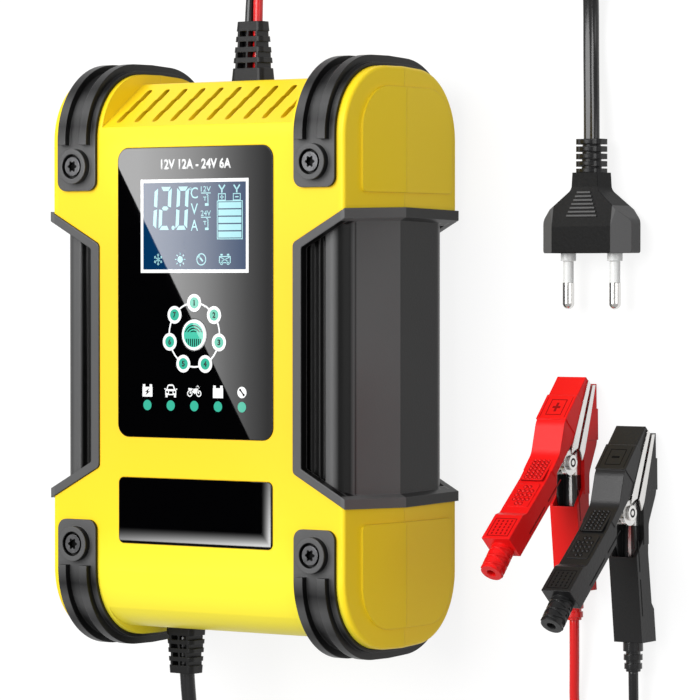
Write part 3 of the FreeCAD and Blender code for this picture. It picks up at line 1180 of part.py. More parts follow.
def main():
    os.makedirs("parts", exist_ok=True)
    fill_sheet()
    make_front_shell()
    make_back_shell()
    make_grip("grip_right", 1)
    make_grip("grip_left", -1)
    for end, y in (("top", 1), ("bottom", -1)):
        for side, x in (("right", 1), ("left", -1)):
            make_bumper(f"bumper_{end}_{side}", x, y)
    make_screws("front_screws", 1)
    make_screws("back_screws", -1)
    make_panel()
    make_plate()
    make_button()
    make_switch()
    make_lights()
    make_display()
    make_main_board()
    make_power_parts()
    make_fan()
    make_relief("lead_relief", "0", 1, "lead_base", "lead_tip", "lead_relief_long",
                ["-core_apart / 2", "core_apart / 2"])
    make_relief("mains_relief", "mains_x", -1, "mains_base", "mains_tip", "mains_relief_long", ["0"])
    make_plug()
    make_pins()
    red_end = make_clamp("red", "red_x", "red_y")
    black_end = make_clamp("black", "black_x", "black_y")
    make_leads(red_end, black_end)
    check_and_write()


main()
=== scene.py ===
# %% [markdown]
# A battery charger for cars, lying on its back on a white sheet, with its two
# battery leads and its mains lead. The charger's solids come as a finished
# frame, in metres, with X to the right, Y to the battery lead end and Z out
# of the display face. This lesson gives them their finishes, and adds what is
# printed, lit, moulded and laid out: the display, the small relief on
# the clamps, and the three leads.

# %% Load the frame
import json
import math

import bmesh
import bpy
from mathutils import Matrix, Vector

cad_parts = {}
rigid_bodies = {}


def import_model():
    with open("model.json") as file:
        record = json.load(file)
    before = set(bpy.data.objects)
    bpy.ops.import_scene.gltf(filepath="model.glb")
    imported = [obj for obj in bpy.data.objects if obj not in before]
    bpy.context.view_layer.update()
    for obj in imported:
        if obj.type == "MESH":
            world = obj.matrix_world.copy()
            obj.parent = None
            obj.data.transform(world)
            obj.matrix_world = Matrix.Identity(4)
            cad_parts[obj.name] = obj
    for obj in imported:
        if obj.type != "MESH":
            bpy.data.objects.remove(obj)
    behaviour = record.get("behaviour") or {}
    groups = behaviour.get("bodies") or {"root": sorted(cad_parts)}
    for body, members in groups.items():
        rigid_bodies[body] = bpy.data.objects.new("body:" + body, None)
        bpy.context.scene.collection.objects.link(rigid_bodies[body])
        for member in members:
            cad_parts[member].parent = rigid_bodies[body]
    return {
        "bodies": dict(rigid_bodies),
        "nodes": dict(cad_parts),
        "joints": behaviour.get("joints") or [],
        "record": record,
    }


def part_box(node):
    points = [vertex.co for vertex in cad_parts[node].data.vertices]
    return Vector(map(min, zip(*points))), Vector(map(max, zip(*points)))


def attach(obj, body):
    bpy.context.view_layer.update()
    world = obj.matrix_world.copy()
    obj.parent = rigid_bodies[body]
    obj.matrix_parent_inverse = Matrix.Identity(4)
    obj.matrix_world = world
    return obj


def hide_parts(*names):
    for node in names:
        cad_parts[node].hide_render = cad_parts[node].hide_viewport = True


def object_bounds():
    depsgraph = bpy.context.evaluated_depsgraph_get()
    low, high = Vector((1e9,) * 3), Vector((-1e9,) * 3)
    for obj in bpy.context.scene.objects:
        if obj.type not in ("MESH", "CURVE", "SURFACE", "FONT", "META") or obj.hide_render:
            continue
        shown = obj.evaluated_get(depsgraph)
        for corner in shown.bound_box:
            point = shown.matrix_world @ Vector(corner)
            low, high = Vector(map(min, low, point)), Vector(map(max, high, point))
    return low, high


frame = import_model()
cad_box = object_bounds()
nodes = frame["nodes"]
MM = 0.001
low_corner, high_corner = [[round(value / MM, 1) for value in corner] for corner in cad_box]
print(f"{len(nodes)} solids, box {low_corner} to {high_corner}")

# %% [markdown]
# The photograph looks at the charger from its front right: the camera is
# turned 36 degrees about the long axis, far away behind a long lens, so that
# edges that run away from it stay almost parallel. The long axis stays
# upright in the picture. The aim is the middle of the housing, and the whole
# picture is pushed left of it, because the plug and clamps need room.

# %% The camera
CAMERA_TURN = math.radians(36)
CAMERA_PITCH = math.radians(-1)
CAMERA_AWAY = 1400 * MM
CAMERA_AIM = Vector((1.75, 1.9, 38)) * MM
CAMERA_SIDESTEP = 33 * MM
LENS = 206.2

turn = Matrix.Rotation(CAMERA_TURN, 4, "Y")
camera_data = bpy.data.cameras.new("camera")
camera_data.lens = LENS
camera_data.clip_end = 20
camera = bpy.data.objects.new("camera", camera_data)
bpy.context.scene.collection.objects.link(camera)
camera.matrix_world = (Matrix.Translation(CAMERA_AIM) @ turn @ Matrix.Rotation(CAMERA_PITCH, 4, "X")
                       @ Matrix.Translation((CAMERA_SIDESTEP, 0, CAMERA_AWAY)))
bpy.context.scene.camera = camera
bpy.context.scene.view_settings.view_transform = "Standard"
print("camera at", [round(v, 3) for v in camera.matrix_world.translation])

# %% [markdown]
# A finish is a small graph of shader nodes round one Principled shader. The
# sums in such a graph are easier to read as Python than as chains of Math
# nodes, so a Signal wraps a node's output and takes the usual operators.

# %% Signals
class Signal:
    """One output in a shader graph, which takes part in sums."""

    def __init__(self, finish, output):
        self.finish = finish
        self.output = output

    def sum(self, operation, *values):
        return self.finish.node("Math", {"operation": operation}, dict(enumerate(values)))

    def __add__(self, other):
        return self.sum("ADD", self, other)

    __radd__ = __add__

    def __sub__(self, other):
        return self.sum("SUBTRACT", self, other)

    def __rsub__(self, other):
        return self.sum("SUBTRACT", other, self)

    def __mul__(self, other):
        return self.sum("MULTIPLY", self, other)

    __rmul__ = __mul__

    def __truediv__(self, other):
        return self.sum("DIVIDE", self, other)

    def __lt__(self, other):
        return self.sum("LESS_THAN", self, other)

    def __gt__(self, other):
        return self.sum("GREATER_THAN", self, other)

    def __abs__(self):
        return self.sum("ABSOLUTE", self)

    def larger(self, other):
        return self.sum("MAXIMUM", self, other)

    def root(self):
        return self.sum("SQRT", self)

    def cosine(self):
        return self.sum("COSINE", self)

    def fraction(self):
        return self.sum("FRACT", self)


def distance(across, up):
    return (across * across + up * up).root()


# %% [markdown]
# A Finish holds the graph. One method, node, makes every node: it sets the
# node's own settings first and then its sockets, from plain values or from
# other signals. The other methods are what this charger's finishes share:
# the place on the object, noise, two colours blended by a mask, and bump.

# %% Finishes
NOISE_ROUGHNESS = 0.5
BEVEL_SAMPLES = 6


class Finish:
    """A material with one Principled shader, whose plain values sit on its own sockets."""

    def __init__(self, name, **values):
        self.material = bpy.data.materials.new(name)
        self.material.use_nodes = True
        self.tree = self.material.node_tree
        self.shader = self.tree.nodes["Principled BSDF"]
        for socket, value in values.items():
            self.shader.inputs[socket.replace("_", " ")].default_value = value

    def node(self, kind, settings=None, sockets=None, output=0):
        made = self.tree.nodes.new("ShaderNode" + kind)
        for name, value in (settings or {}).items():
            if name == "stops":
                for _ in value[2:]:
                    made.color_ramp.elements.new(0.5)
                for stop, (position, shade) in zip(made.color_ramp.elements, value):
                    stop.position, stop.color = position, shade
            else:
                setattr(made, name, value)
        for name, value in (sockets or {}).items():
            if isinstance(value, Signal):
                self.tree.links.new(value.output, made.inputs[name])
            else:
                made.inputs[name].default_value = value
        return Signal(self, made.outputs[output])

    def place(self):
        """Where the point lies on the object, as three signals in metres."""
        spot = self.node("TexCoord", output="Object")
        return [self.node("SeparateXYZ", sockets={0: spot}, output=axis) for axis in "XYZ"]

    def noise(self, scale, detail=2.0, stretch=None):
        spot = self.node("TexCoord", output="Object")
        if stretch:
            spot = self.node("Mapping", sockets={0: spot, "Scale": stretch})
        sockets = {"Vector": spot, "Scale": scale, "Detail": detail, "Roughness": NOISE_ROUGHNESS}
        return self.node("TexNoise", sockets=sockets)

    def blend(self, mask, first, second):
        """A colour that goes from the first to the second as the mask goes from 0 to 1."""
        return self.node("Mix", {"data_type": "RGBA"}, {0: mask, 6: first, 7: second}, output=2)

    def spread(self, signal, low, high, to_low, to_high):
        """A signal's stretch from low to high, mapped to another stretch and held at its ends."""
        sockets = {0: signal, 1: low, 2: high, 3: to_low, 4: to_high}
        return self.node("MapRange", {"clamp": True}, sockets)

    def band(self, signal, start, full, fall, end):
        """0 up to start, 1 between full and fall, and 0 again from end on."""
        return self.spread(signal, start, full, 0, 1) * self.spread(signal, fall, end, 1, 0)

    def feed(self, socket, signal):
        self.tree.links.new(signal.output, self.shader.inputs[socket])

    def relief(self, height, deep, strength=1.0, edge=None):
        """Bump from a height signal, on corners that are rounded by edge where it is given."""
        sockets = {"Height": height, "Strength": strength, "Distance": deep}
        if edge:
            sockets["Normal"] = self.node("Bevel", {"samples": BEVEL_SAMPLES}, {"Radius": edge})
        self.feed("Normal", self.node("Bump", sockets=sockets))

    def put_on(self, *things):
        for thing in things:
            thing.data.materials.clear()
            thing.data.materials.append(self.material)


def colour(red, green, blue):
    return (red, green, blue, 1.0)


def darker(shade, share):
    """The same colour with its light cut to a share."""
    return colour(*[channel * share for channel in shade[:3]])


# %% [markdown]
# Every piece that is added to the solids starts as a bmesh. Blender's edit
# mode could make the same shapes, but it works on whatever is selected, and a
# bmesh is worked on by itself. What it holds is written to a mesh once, and
# the object that shows the mesh is linked to the scene.

# %% From a bmesh to an object
def make_piece(name, form):
    mesh = bpy.data.meshes.new(name)
    form.to_mesh(mesh)
    form.free()
    piece = bpy.data.objects.new(name, mesh)
    bpy.context.scene.collection.objects.link(piece)
    return piece


# %% [markdown]
# The housing is moulded in a warm yellow plastic with a fine grain. A noise of
# half a millimetre gives the grain, and a slower one varies the gloss a
# little, as a moulding does where the steel of the mould was polished
# unevenly. A picture of plastic would have to be fitted to every face, and its
# seams would show; noise in the object's own space needs neither. The shader's
# own bevel rounds every sharp edge by 0.6 mm, which is what catches the light
# on a real moulding. The front is painted a little deeper in colour round the
# display, as painted shade, and paler towards its lower end, as painted light.

# %% Yellow plastic
YELLOW = colour(0.96, 0.7, 0.015)
DEEP_YELLOW = colour(0.94, 0.67, 0.012)
SHADE_PAINTED_YELLOW = colour(0.95, 0.58, 0.018)
LIGHT_PAINTED_YELLOW = colour(0.97, 0.83, 0.045)
FRONT_EDGE = 60.5 * MM, 62.5 * MM
MIDDLE_AT, MIDDLE_FADE = 5 * MM, (25 * MM, 75 * MM)
LOW_END = -60 * MM, -85 * MM
FINE_GRAIN = 1900.0


def yellow_plastic():
    finish = Finish("yellow_plastic", Specular_IOR_Level=0.25)
    slow = finish.noise(9.0, 3.0)
    x, y, z = finish.place()
    # Painted shade round the display and painted light towards the front's lower end.
    front = finish.spread(abs(x), *FRONT_EDGE, 1, 0)
    middle = finish.spread(abs(y - MIDDLE_AT), *MIDDLE_FADE, 1, 0)
    low_end = finish.spread(y, *LOW_END, 0, 1)
    tone = finish.blend(finish.spread(slow, 0.3, 0.7, 0, 1), DEEP_YELLOW, YELLOW)
    tone = finish.blend(front * middle, tone, SHADE_PAINTED_YELLOW)
    finish.feed("Base Color", finish.blend(front * low_end, tone, LIGHT_PAINTED_YELLOW))
    finish.feed("Roughness", finish.spread(slow, 0.25, 0.75, 0.36, 0.44))
    finish.relief(finish.noise(FINE_GRAIN), 0.06 * MM, 0.25, edge=0.6 * MM)
    return finish


yellow_plastic().put_on(nodes["front_shell"], nodes["back_shell"])

# %% [markdown]
# Bumpers and grips are a black plastic that is softer and duller than the
# housing. Its grain is coarser, and where its faces catch the light it is
# painted a dark grey, as painted light.
#
# A bumper is painted pale on its flat front, as painted light, and black on
# the walls of its ribs and boss and dark round its bend, as painted shade.
# Four bumpers could be painted one by one, but a rule serves them all: how
# far a point stands above the housing's rounded block tells a wall from a
# top, and the distance along Y tells the flat front from the bend, which has
# one band of painted sheen.

# %% Black bumpers
BLOCK_END, BLOCK_ROUND, BLOCK_FRONT, BLOCK_BACK = 99.0, 24.0, 70.0, 4.0
STRAP_TOP, RIB_TOP = 1.3, 3.8
STRAP_X, SCREW_Y = 51.7, 66.0
BEND_SPAN = 72 * MM, 80 * MM
SHEEN_SPAN, SHEEN_SHARE = (80 * MM, 85 * MM, 88 * MM, 93 * MM), 0.75
COARSE_GRAIN = 1400.0


def above_block(y, z):
    """How far a point stands above the rounded blocks of the housing, in millimetres."""
    half = (BLOCK_FRONT - BLOCK_BACK) / 2
    out = (abs(y) / MM - (BLOCK_END - BLOCK_ROUND)).larger(0.0)
    up = (abs(z / MM - (BLOCK_BACK + half)) - (half - BLOCK_ROUND)).larger(0.0)
    return distance(out, up) - BLOCK_ROUND


def bumper_plastic():
    finish = Finish("bumper_black", Specular_IOR_Level=0.28)
    slow = finish.noise(14.0, 3.0)
    x, y, z = finish.place()
    level = above_block(y, z)
    # Painted shade on the walls of the ribs and boss and round the bend, painted light on the flat front,
    # and a painted sheen on the bend.
    wall = (level < STRAP_TOP - 0.12) + (level > STRAP_TOP + 0.15) * (level < RIB_TOP - 0.15)
    bend = finish.spread(abs(y), *BEND_SPAN, 0, 1)
    sheen = finish.band(abs(y), *SHEEN_SPAN) * SHEEN_SHARE
    painted_light = finish.blend(slow, colour(0.07, 0.07, 0.071), colour(0.095, 0.095, 0.096))
    tone = finish.blend(bend, painted_light, colour(0.014, 0.014, 0.0145))
    tone = finish.blend(sheen, tone, colour(0.085, 0.085, 0.086))
    finish.feed("Base Color", finish.blend(wall, tone, colour(0.003, 0.003, 0.003)))
    finish.feed("Roughness", finish.spread(slow, 0.2, 0.8, 0.34, 0.46))
    finish.relief(finish.noise(COARSE_GRAIN), 0.08 * MM, 0.35, edge=0.5 * MM)
    return finish


bumper_plastic().put_on(*[thing for name, thing in nodes.items() if name.startswith("bumper")])

# %% [markdown]
# A grip is painted pale on its rim, on the crests of its flutes and on the
# half of its side that faces forward, as painted light and painted
# highlights, and dark on the half of its side that faces back, as painted
# shade. The height over the parting plane, the same to the front and to the
# back, tells all of these apart.

# %% Black grips
PARTING_LEVEL, RIM_AT, FACET_END, GRIP_SIDE = 37.0, 33.3, 24.0, 62.3
CREST_BAND = 29.1, 29.9, 30.2, 30.5
CORNER_BAND = FACET_END, FACET_END + 0.9, FACET_END + 1.2, FACET_END + 2.4
GRIP_DARK, GRIP_PAINTED_LIGHT = colour(0.004, 0.004, 0.004), colour(0.1, 0.1, 0.101)
SIDE_PAINTED_SHADE, SIDE_PAINTED_LIGHT = colour(0.006, 0.006, 0.006), colour(0.12, 0.12, 0.121)
GRIME = colour(0.002, 0.002, 0.002)


def grip_plastic():
    finish = Finish("grip_black", Specular_IOR_Level=0.22)
    slow = finish.noise(14.0, 3.0)
    x, y, z = finish.place()
    over = z / MM - PARTING_LEVEL
    off = abs(over)
    # Painted highlights on the crests and the corner, painted light on the rim and the forward half of the
    # side, painted shade on its back half.
    painted_light = finish.band(off, *CREST_BAND).larger(finish.band(off, *CORNER_BAND))
    front = finish.blend(painted_light, GRIP_DARK, GRIP_PAINTED_LIGHT)
    front = finish.blend(off > RIM_AT, front, GRIP_PAINTED_LIGHT)
    side = finish.blend(finish.spread(over, -0.2, 0.2, 0, 1), SIDE_PAINTED_SHADE, SIDE_PAINTED_LIGHT)
    on_side = (off < FACET_END).larger(abs(x) / MM > GRIP_SIDE)
    tone = finish.blend(on_side, front, side)
    finish.feed("Base Color", finish.blend(slow * 0.25, tone, GRIME))
    finish.feed("Roughness", finish.spread(slow, 0.2, 0.8, 0.3, 0.38))
    finish.relief(finish.noise(COARSE_GRAIN), 0.08 * MM, 0.35, edge=0.6 * MM)
    return finish


grip_plastic().put_on(nodes["grip_right"], nodes["grip_left"])

# %% [markdown]
# Metal takes nearly all of its look from what it mirrors. The plating on jaws,
# pins and springs has a streaked noise, stretched along the piece, for the
# marks that rolling and pressing leave. The screws are blackened steel. Their
# star-shaped sockets are made black by a formula of the angle round the
# screw's axis, because light hardly reaches the bottom of so deep a hole.

# %% Metals
STREAKS, STREAK_STRETCH = 420.0, (1.0, 0.15, 1.0)
METAL_EDGE, SCRATCH_DEEP = 0.2 * MM, 0.05 * MM
SOCKET_ROUND, SOCKET_STAR, SOCKET_POINTS = 1.75, 0.32, 6.0


def metal(name, base, rough):
    finish = Finish(name, Metallic=1.0)
    streak = finish.noise(STREAKS, 3.0, stretch=STREAK_STRETCH)
    finish.feed("Base Color", finish.blend(streak, darker(base, 0.78), base))
    finish.feed("Roughness", finish.spread(streak, 0.2, 0.8, rough * 0.75, rough * 1.3))
    finish.relief(streak, SCRATCH_DEEP, 0.1, edge=METAL_EDGE)
    return finish


plated = metal("plated_steel", colour(0.8, 0.79, 0.77), 0.2)


def screw_steel():
    finish = Finish("dark_steel", Specular_IOR_Level=0.1)
    x, y, z = finish.place()
    across, up = abs(x) / MM - STRAP_X, abs(y) / MM - SCREW_Y
    angle = up.sum("ARCTAN2", up, across)
    socket = distance(across, up) < (angle * SOCKET_POINTS).cosine() * SOCKET_STAR + SOCKET_ROUND
    streak = finish.noise(STREAKS, 3.0)
    bright = finish.blend(streak, colour(0.12, 0.12, 0.125), colour(0.16, 0.16, 0.165))
    finish.feed("Base Color", finish.blend(socket, bright, colour(0.002, 0.002, 0.002)))
    finish.feed("Metallic", 1.0 - socket)
    finish.feed("Roughness", finish.spread(streak, 0.2, 0.8, 0.24, 0.38))
    finish.relief(streak, SCRATCH_DEEP, 0.1, edge=METAL_EDGE)
    return finish


PLATED_PARTS = "red_clamp_spring", "black_clamp_spring", "plug_pins", "display_screws", "main_screws"
plated.put_on(*[nodes[name] for name in PLATED_PARTS])
screw_steel().put_on(nodes["front_screws"], nodes["back_screws"])

# %% [markdown]
# The small pieces are moulded too, in softer and harder plastics, black, red
# or white. One recipe serves them all, because they differ only in colour,
# gloss and grain: a slow noise changes the colour and the gloss a little, and
# a grain is added as bump. Its depth is given in millimetres.

# %% Soft black and coloured plastics
MOULD_EDGE = 0.4 * MM
RELIEF_GRAIN, CLAMP_GRAIN = 1100.0, 900.0


def moulded(name, base, rough, grain=1500.0, deep=0.05, shine=0.5):
    finish = Finish(name, Specular_IOR_Level=shine)
    slow = finish.noise(25.0)
    finish.feed("Base Color", finish.blend(slow, darker(base, 0.82), base))
    finish.feed("Roughness", finish.spread(slow, 0.2, 0.8, rough * 0.85, rough * 1.15))
    finish.relief(finish.noise(grain), deep * MM, 0.25, edge=MOULD_EDGE)
    return finish


soft_black = moulded("soft_black", colour(0.008, 0.008, 0.0085), 0.36, RELIEF_GRAIN, 0.12, shine=0.25)
hard_black = moulded("moulded_black", colour(0.02, 0.02, 0.021), 0.45)
pale = moulded("pale_plastic", colour(0.82, 0.83, 0.82), 0.3)
clamp_finish = {"red": moulded("red_cover", colour(0.84, 0.008, 0.008), 0.34, CLAMP_GRAIN, 0.12, shine=0.2),
                "black": moulded("black_cover", colour(0.014, 0.014, 0.0145), 0.3, CLAMP_GRAIN, 0.16,
                                 shine=0.28)}
sheath = {"red": moulded("red_sheath", colour(0.72, 0.006, 0.006), 0.22, CLAMP_GRAIN),
          "black": moulded("black_sheath", colour(0.008, 0.008, 0.0085), 0.2, CLAMP_GRAIN)}
for lead, finish in clamp_finish.items():
    finish.put_on(nodes[f"{lead}_lower_cover"], nodes[f"{lead}_upper_cover"])
    sheath[lead].put_on(nodes[f"{lead}_clamp_relief"])
soft_black.put_on(nodes["plug_relief"], nodes["lead_relief"], nodes["mains_relief"])
pale.put_on(nodes["pin_sleeves"])
HARD_PARTS = "push_switch", "switch_plunger", "relay", "fan_frame", "fan_rotor", "power_transistors"
hard_black.put_on(*[nodes[name] for name in HARD_PARTS])

# %% [markdown]
# The plug's two narrow sides are painted paler than its face, as painted
# light, and the face keeps its coarse black grain. The ridges on its face are
# painted paler too, as painted light on their tops.

# %% The plug's plastic
PLUG_MIDDLE, PLUG_FACET, FACET_SOFT = 120.8, 11.7, 0.1


def plug_plastic():
    finish = Finish("plug_black", Specular_IOR_Level=0.11)
    x, y, z = finish.place()
    # The narrow sides are painted paler, as painted light.
    painted_light_sides = finish.spread(abs(x / MM - PLUG_MIDDLE), PLUG_FACET - FACET_SOFT, PLUG_FACET + FACET_SOFT, 0, 1)
    slow = finish.noise(25.0)
    grain = finish.noise(RELIEF_GRAIN)
    face = finish.blend(grain, colour(0.001, 0.001, 0.001), colour(0.009, 0.009, 0.0095))
    side = finish.blend(slow, colour(0.075, 0.075, 0.076), colour(0.095, 0.095, 0.096))
    finish.feed("Base Color", finish.blend(painted_light_sides, face, side))
    finish.feed("Roughness", finish.spread(slow, 0.2, 0.8, 0.42, 0.52))
    finish.relief(grain, 0.16 * MM, 0.35, edge=MOULD_EDGE)
    return finish


plug_plastic().put_on(nodes["plug_body"])
# A paler black for the plug's ridges, as painted light on their tops.
plug_painted_light = moulded("plug_painted_light", colour(0.075, 0.075, 0.076), 0.4, RELIEF_GRAIN, 0.08, shine=0.25)

# %% [markdown]
# Nothing of the inside shows while the housing is shut, except the fan behind
# its grille, but every piece has the finish of its own stuff.

# %% Inside pieces
BOARD_GRAIN = 300.0
board = moulded("circuit_board", colour(0.03, 0.16, 0.07), 0.35, BOARD_GRAIN)
board.put_on(nodes["display_board"], nodes["main_board"])
metal("aluminium_can", colour(0.7, 0.71, 0.73), 0.3).put_on(nodes["heat_sinks"], nodes["capacitors"])
metal("iron_core", colour(0.25, 0.24, 0.23), 0.5).put_on(nodes["transformer"])
metal("copper_winding", colour(0.7, 0.3, 0.12), 0.3).put_on(nodes["choke"])
moulded("light_pipe", colour(0.6, 0.75, 0.7), 0.25).put_on(nodes["stage_lights"], nodes["type_lights"])
moulded("lcd_glass", colour(0.1, 0.4, 0.75), 0.1).put_on(nodes["lcd_module"])

# %% [markdown]
# The display face and the plate below it are polished black sheets. A perfect
# mirror would look like a hole in the picture, so a very faint noise stands
# for the film of dust that breaks it a little.

# %% Glossy black
PANEL_GLOSS = 0.03


def gloss_black():
    finish = Finish("gloss_black", Base_Color=colour(0.0006, 0.0006, 0.0008))
    dust = finish.noise(60.0, 4.0)
    finish.feed("Roughness", finish.spread(dust, 0.3, 0.8, PANEL_GLOSS, PANEL_GLOSS * 1.6))
    finish.relief(dust, 0.02 * MM, 0.03, edge=0.3 * MM)
    return finish


gloss_black().put_on(nodes["display_panel"], nodes["name_plate"])

# %% [markdown]
# What is printed on the display face is made as very thin slabs that lie on
# it, a few hundredths of a millimetre thick, so that it stays sharp at any
# distance and keeps the face's gloss. The same kind of shapes, a little
# thicker, give the grip pads of the clamps. A Drawing gathers shapes that
# share a finish: bars, boxes, discs, rings, outlines and figures. Each comes
# from one bmesh operator and is placed by a matrix. Then lay gives them their
# thickness and sets them on a face.

# %% Drawings
DISC_SIDES, CORNER_STEPS, FIGURE_STEPS = 36, 4, 4


class Drawing:
    """Thin flat shapes of one finish, drawn in millimetres and laid on the object's faces."""

    def __init__(self, name, thick=0.015):
        self.name = name
        self.thick = thick
        self.form = bmesh.new()
        self.laid = bmesh.new()
        self.at(0, 0)

    def at(self, x, y):
        """Later shapes are measured from here."""
        self.home = Matrix.Translation((x, y, 0))
        return self

    def bar(self, start, end, wide):
        start, end = Vector(start), Vector(end)
        along = end - start
        middle = Matrix.Translation(((start + end) / 2).to_3d())
        turned = Matrix.Rotation(math.atan2(along.y, along.x), 4, "Z")
        place = self.home @ middle @ turned @ Matrix.Diagonal((along.length, wide, 1, 1))
        return bmesh.ops.create_grid(self.form, x_segments=1, y_segments=1, size=0.5, matrix=place)["verts"]

    def box(self, left, low, right, high, soft=0.0):
        middle = (low + high) / 2
        corners = self.bar((left, middle), (right, middle), high - low)
        if soft:
            bmesh.ops.bevel(self.form, geom=corners, offset=soft, segments=CORNER_STEPS, profile=0.5,
                            affect="VERTICES", material=-1)
        return corners

    def disc(self, x, y, radius):
        place = self.home @ Matrix.Translation((x, y, 0))
        made = bmesh.ops.create_circle(self.form, cap_ends=True, segments=DISC_SIDES, radius=radius,
                                       matrix=place)
        return made["verts"][0].link_faces[0]

    def hollow(self, face, wide):
        """Keep only a rim of a face."""
        bmesh.ops.inset_region(self.form, faces=[face], thickness=wide, use_even_offset=True,
                               use_boundary=True)
        bmesh.ops.delete(self.form, geom=[face], context="FACES_ONLY")

    def ring(self, x, y, radius, wide):
        self.hollow(self.disc(x, y, radius), wide)

    def outline(self, left, low, right, high, wide):
        self.hollow(self.box(left, low, right, high)[0].link_faces[0], wide)

    def patch(self, *spots):
        self.form.faces.new([self.form.verts.new(self.home @ Vector((x, y, 0))) for x, y in spots])

    def figures(self, text, x, y, wide, tall, heavy=0.0):
        """Figures and units, centred on a spot and fitted to a width and a height."""
        lettering = bpy.data.curves.new(text, "FONT")
        lettering.body = text
        lettering.offset = heavy
        lettering.resolution_u = FIGURE_STEPS
        source = bpy.data.objects.new(text, lettering)
        bpy.context.scene.collection.objects.link(source)
        bpy.context.view_layer.update()
        mesh = bpy.data.meshes.new_from_object(source)
        bpy.data.objects.remove(source)
        across = [vertex.co.x for vertex in mesh.vertices]
        up = [vertex.co.y for vertex in mesh.vertices]
        fit = Matrix.Diagonal((wide / (max(across) - min(across)), tall / (max(up) - min(up)), 1, 1))
        centre = Matrix.Translation((-(max(across) + min(across)) / 2, -(max(up) + min(up)) / 2, 0))
        mesh.transform(self.home @ Matrix.Translation((x, y, 0)) @ fit @ centre)
        self.form.from_mesh(mesh)
        bpy.data.meshes.remove(mesh)

    def lay(self, face, domes=(), radius=0.45, high=0.3):
        """Give the shapes their thickness, add round-topped dots, and set all on a face."""
        made = bmesh.ops.extrude_face_region(self.form, geom=self.form.faces[:], use_keep_orig=True)
        tops = [item for item in made["geom"] if isinstance(item, bmesh.types.BMVert)]
        bmesh.ops.translate(self.form, verts=tops, vec=(0, 0, self.thick))
        for x, y in domes:
            place = Matrix.Translation((x, y, 0)) @ Matrix.Diagonal((radius, radius, high, 1))
            bmesh.ops.create_icosphere(self.form, subdivisions=2, radius=1, matrix=self.home @ place)
        bmesh.ops.recalc_face_normals(self.form, faces=self.form.faces[:])
        mesh = bpy.data.meshes.new(self.name)
        self.form.to_mesh(mesh)
        mesh.transform(face)
        self.laid.from_mesh(mesh)
        bpy.data.meshes.remove(mesh)
        self.form.clear()
        self.at(0, 0)

    def finish(self, coat, slot, body="housing"):
        """Make what has been laid one piece that rides on a body."""
        bmesh.ops.scale(self.laid, verts=self.laid.verts[:], vec=(MM, MM, MM))
        self.form.free()
        piece = make_piece(self.name, self.laid)
        coat.put_on(piece)
        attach(piece, body)
        print(f"{self.name}: {len(piece.data.polygons)} faces")


# %% [markdown]
# A screen print has a slight unevenness, which breaks its colour and its gloss
# a little. The inks could be cut to fit round each other, but a printer lays
# one over another, and so does this: they lie on the display face at levels a
# few hundredths of a millimetre apart, so that a dark one covers a light one.

# %% Inks
FACE_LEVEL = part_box("display_panel")[1][2] / MM
SHEET_LEVEL, LIGHT_LEVEL, DARK_LEVEL, FIGURE_LEVEL = 0.01, 0.03, 0.05, 0.07
PRINT_PATCHES = 700.0


def ink(name, base, glow=0.0):
    finish = Finish(name, Roughness=PANEL_GLOSS, Emission_Color=base, Emission_Strength=glow)
    patchy = finish.noise(PRINT_PATCHES, 3.0)
    finish.feed("Base Color", finish.blend(patchy, darker(base, 0.93), base))
    finish.feed("Roughness", finish.spread(patchy, 0.3, 0.7, PANEL_GLOSS, PANEL_GLOSS * 1.5))
    return finish


def print_on_face(drawing, rise, coat, slot):
    drawing.lay(Matrix.Translation((0, 0, FACE_LEVEL + rise)))
    drawing.finish(coat, slot)


white_ink = ink("white_ink", colour(0.84, 0.85, 0.85))
black_ink = ink("black_ink", colour(0.001, 0.001, 0.0012))
teal_ink = ink("teal_ink", colour(0.04, 0.4, 0.275))
navy_glass = ink("navy_glass", colour(0.001, 0.026, 0.085))
lit_segment = ink("lit_segment", colour(0.3, 0.58, 0.62), 0.06)

# %% [markdown]
# The liquid crystal display is a navy sheet in a white frame. Sizes inside it
# are counted from its upper left corner, to the right and down, as a drawing
# of a screen would be. First come the sheet and its frame.

# %% The screen and its frame
SCREEN_LEFT, SCREEN_LOW, SCREEN_RIGHT, SCREEN_HIGH = -23.5, 28.8, 23.5, 61.0
SCREEN_FRAME = 1.15

sheet = Drawing("screen_sheet")
sheet.box(SCREEN_LEFT, SCREEN_LOW, SCREEN_RIGHT, SCREEN_HIGH)
print_on_face(sheet, SHEET_LEVEL, navy_glass, "lcd_glass")
rim = Drawing("screen_frame")
rim.outline(SCREEN_LEFT, SCREEN_LOW, SCREEN_RIGHT, SCREEN_HIGH, SCREEN_FRAME)
print_on_face(rim, LIGHT_LEVEL, white_ink, "pale_plastic")

# %% [markdown]
# The three large digits have seven segments each, slanted at their ends and
# cut by small gaps. The built-in font has no such figures, so they are drawn.
# A digit is a list of the segments that are lit, and every segment is a patch
# with pointed corners. The reading is 12.0.

# %% Digits
lit = Drawing("screen_segments")


def screen_spot(x, y):
    """Measure from a spot on the screen, given right and down from its corner."""
    return lit.at(SCREEN_LEFT + x, SCREEN_HIGH - y)


DIGIT_WIDE, DIGIT_TALL, SEGMENT, SLANT, SEGMENT_GAP = 5.1, 14.8, 1.4, 0.06, 0.28


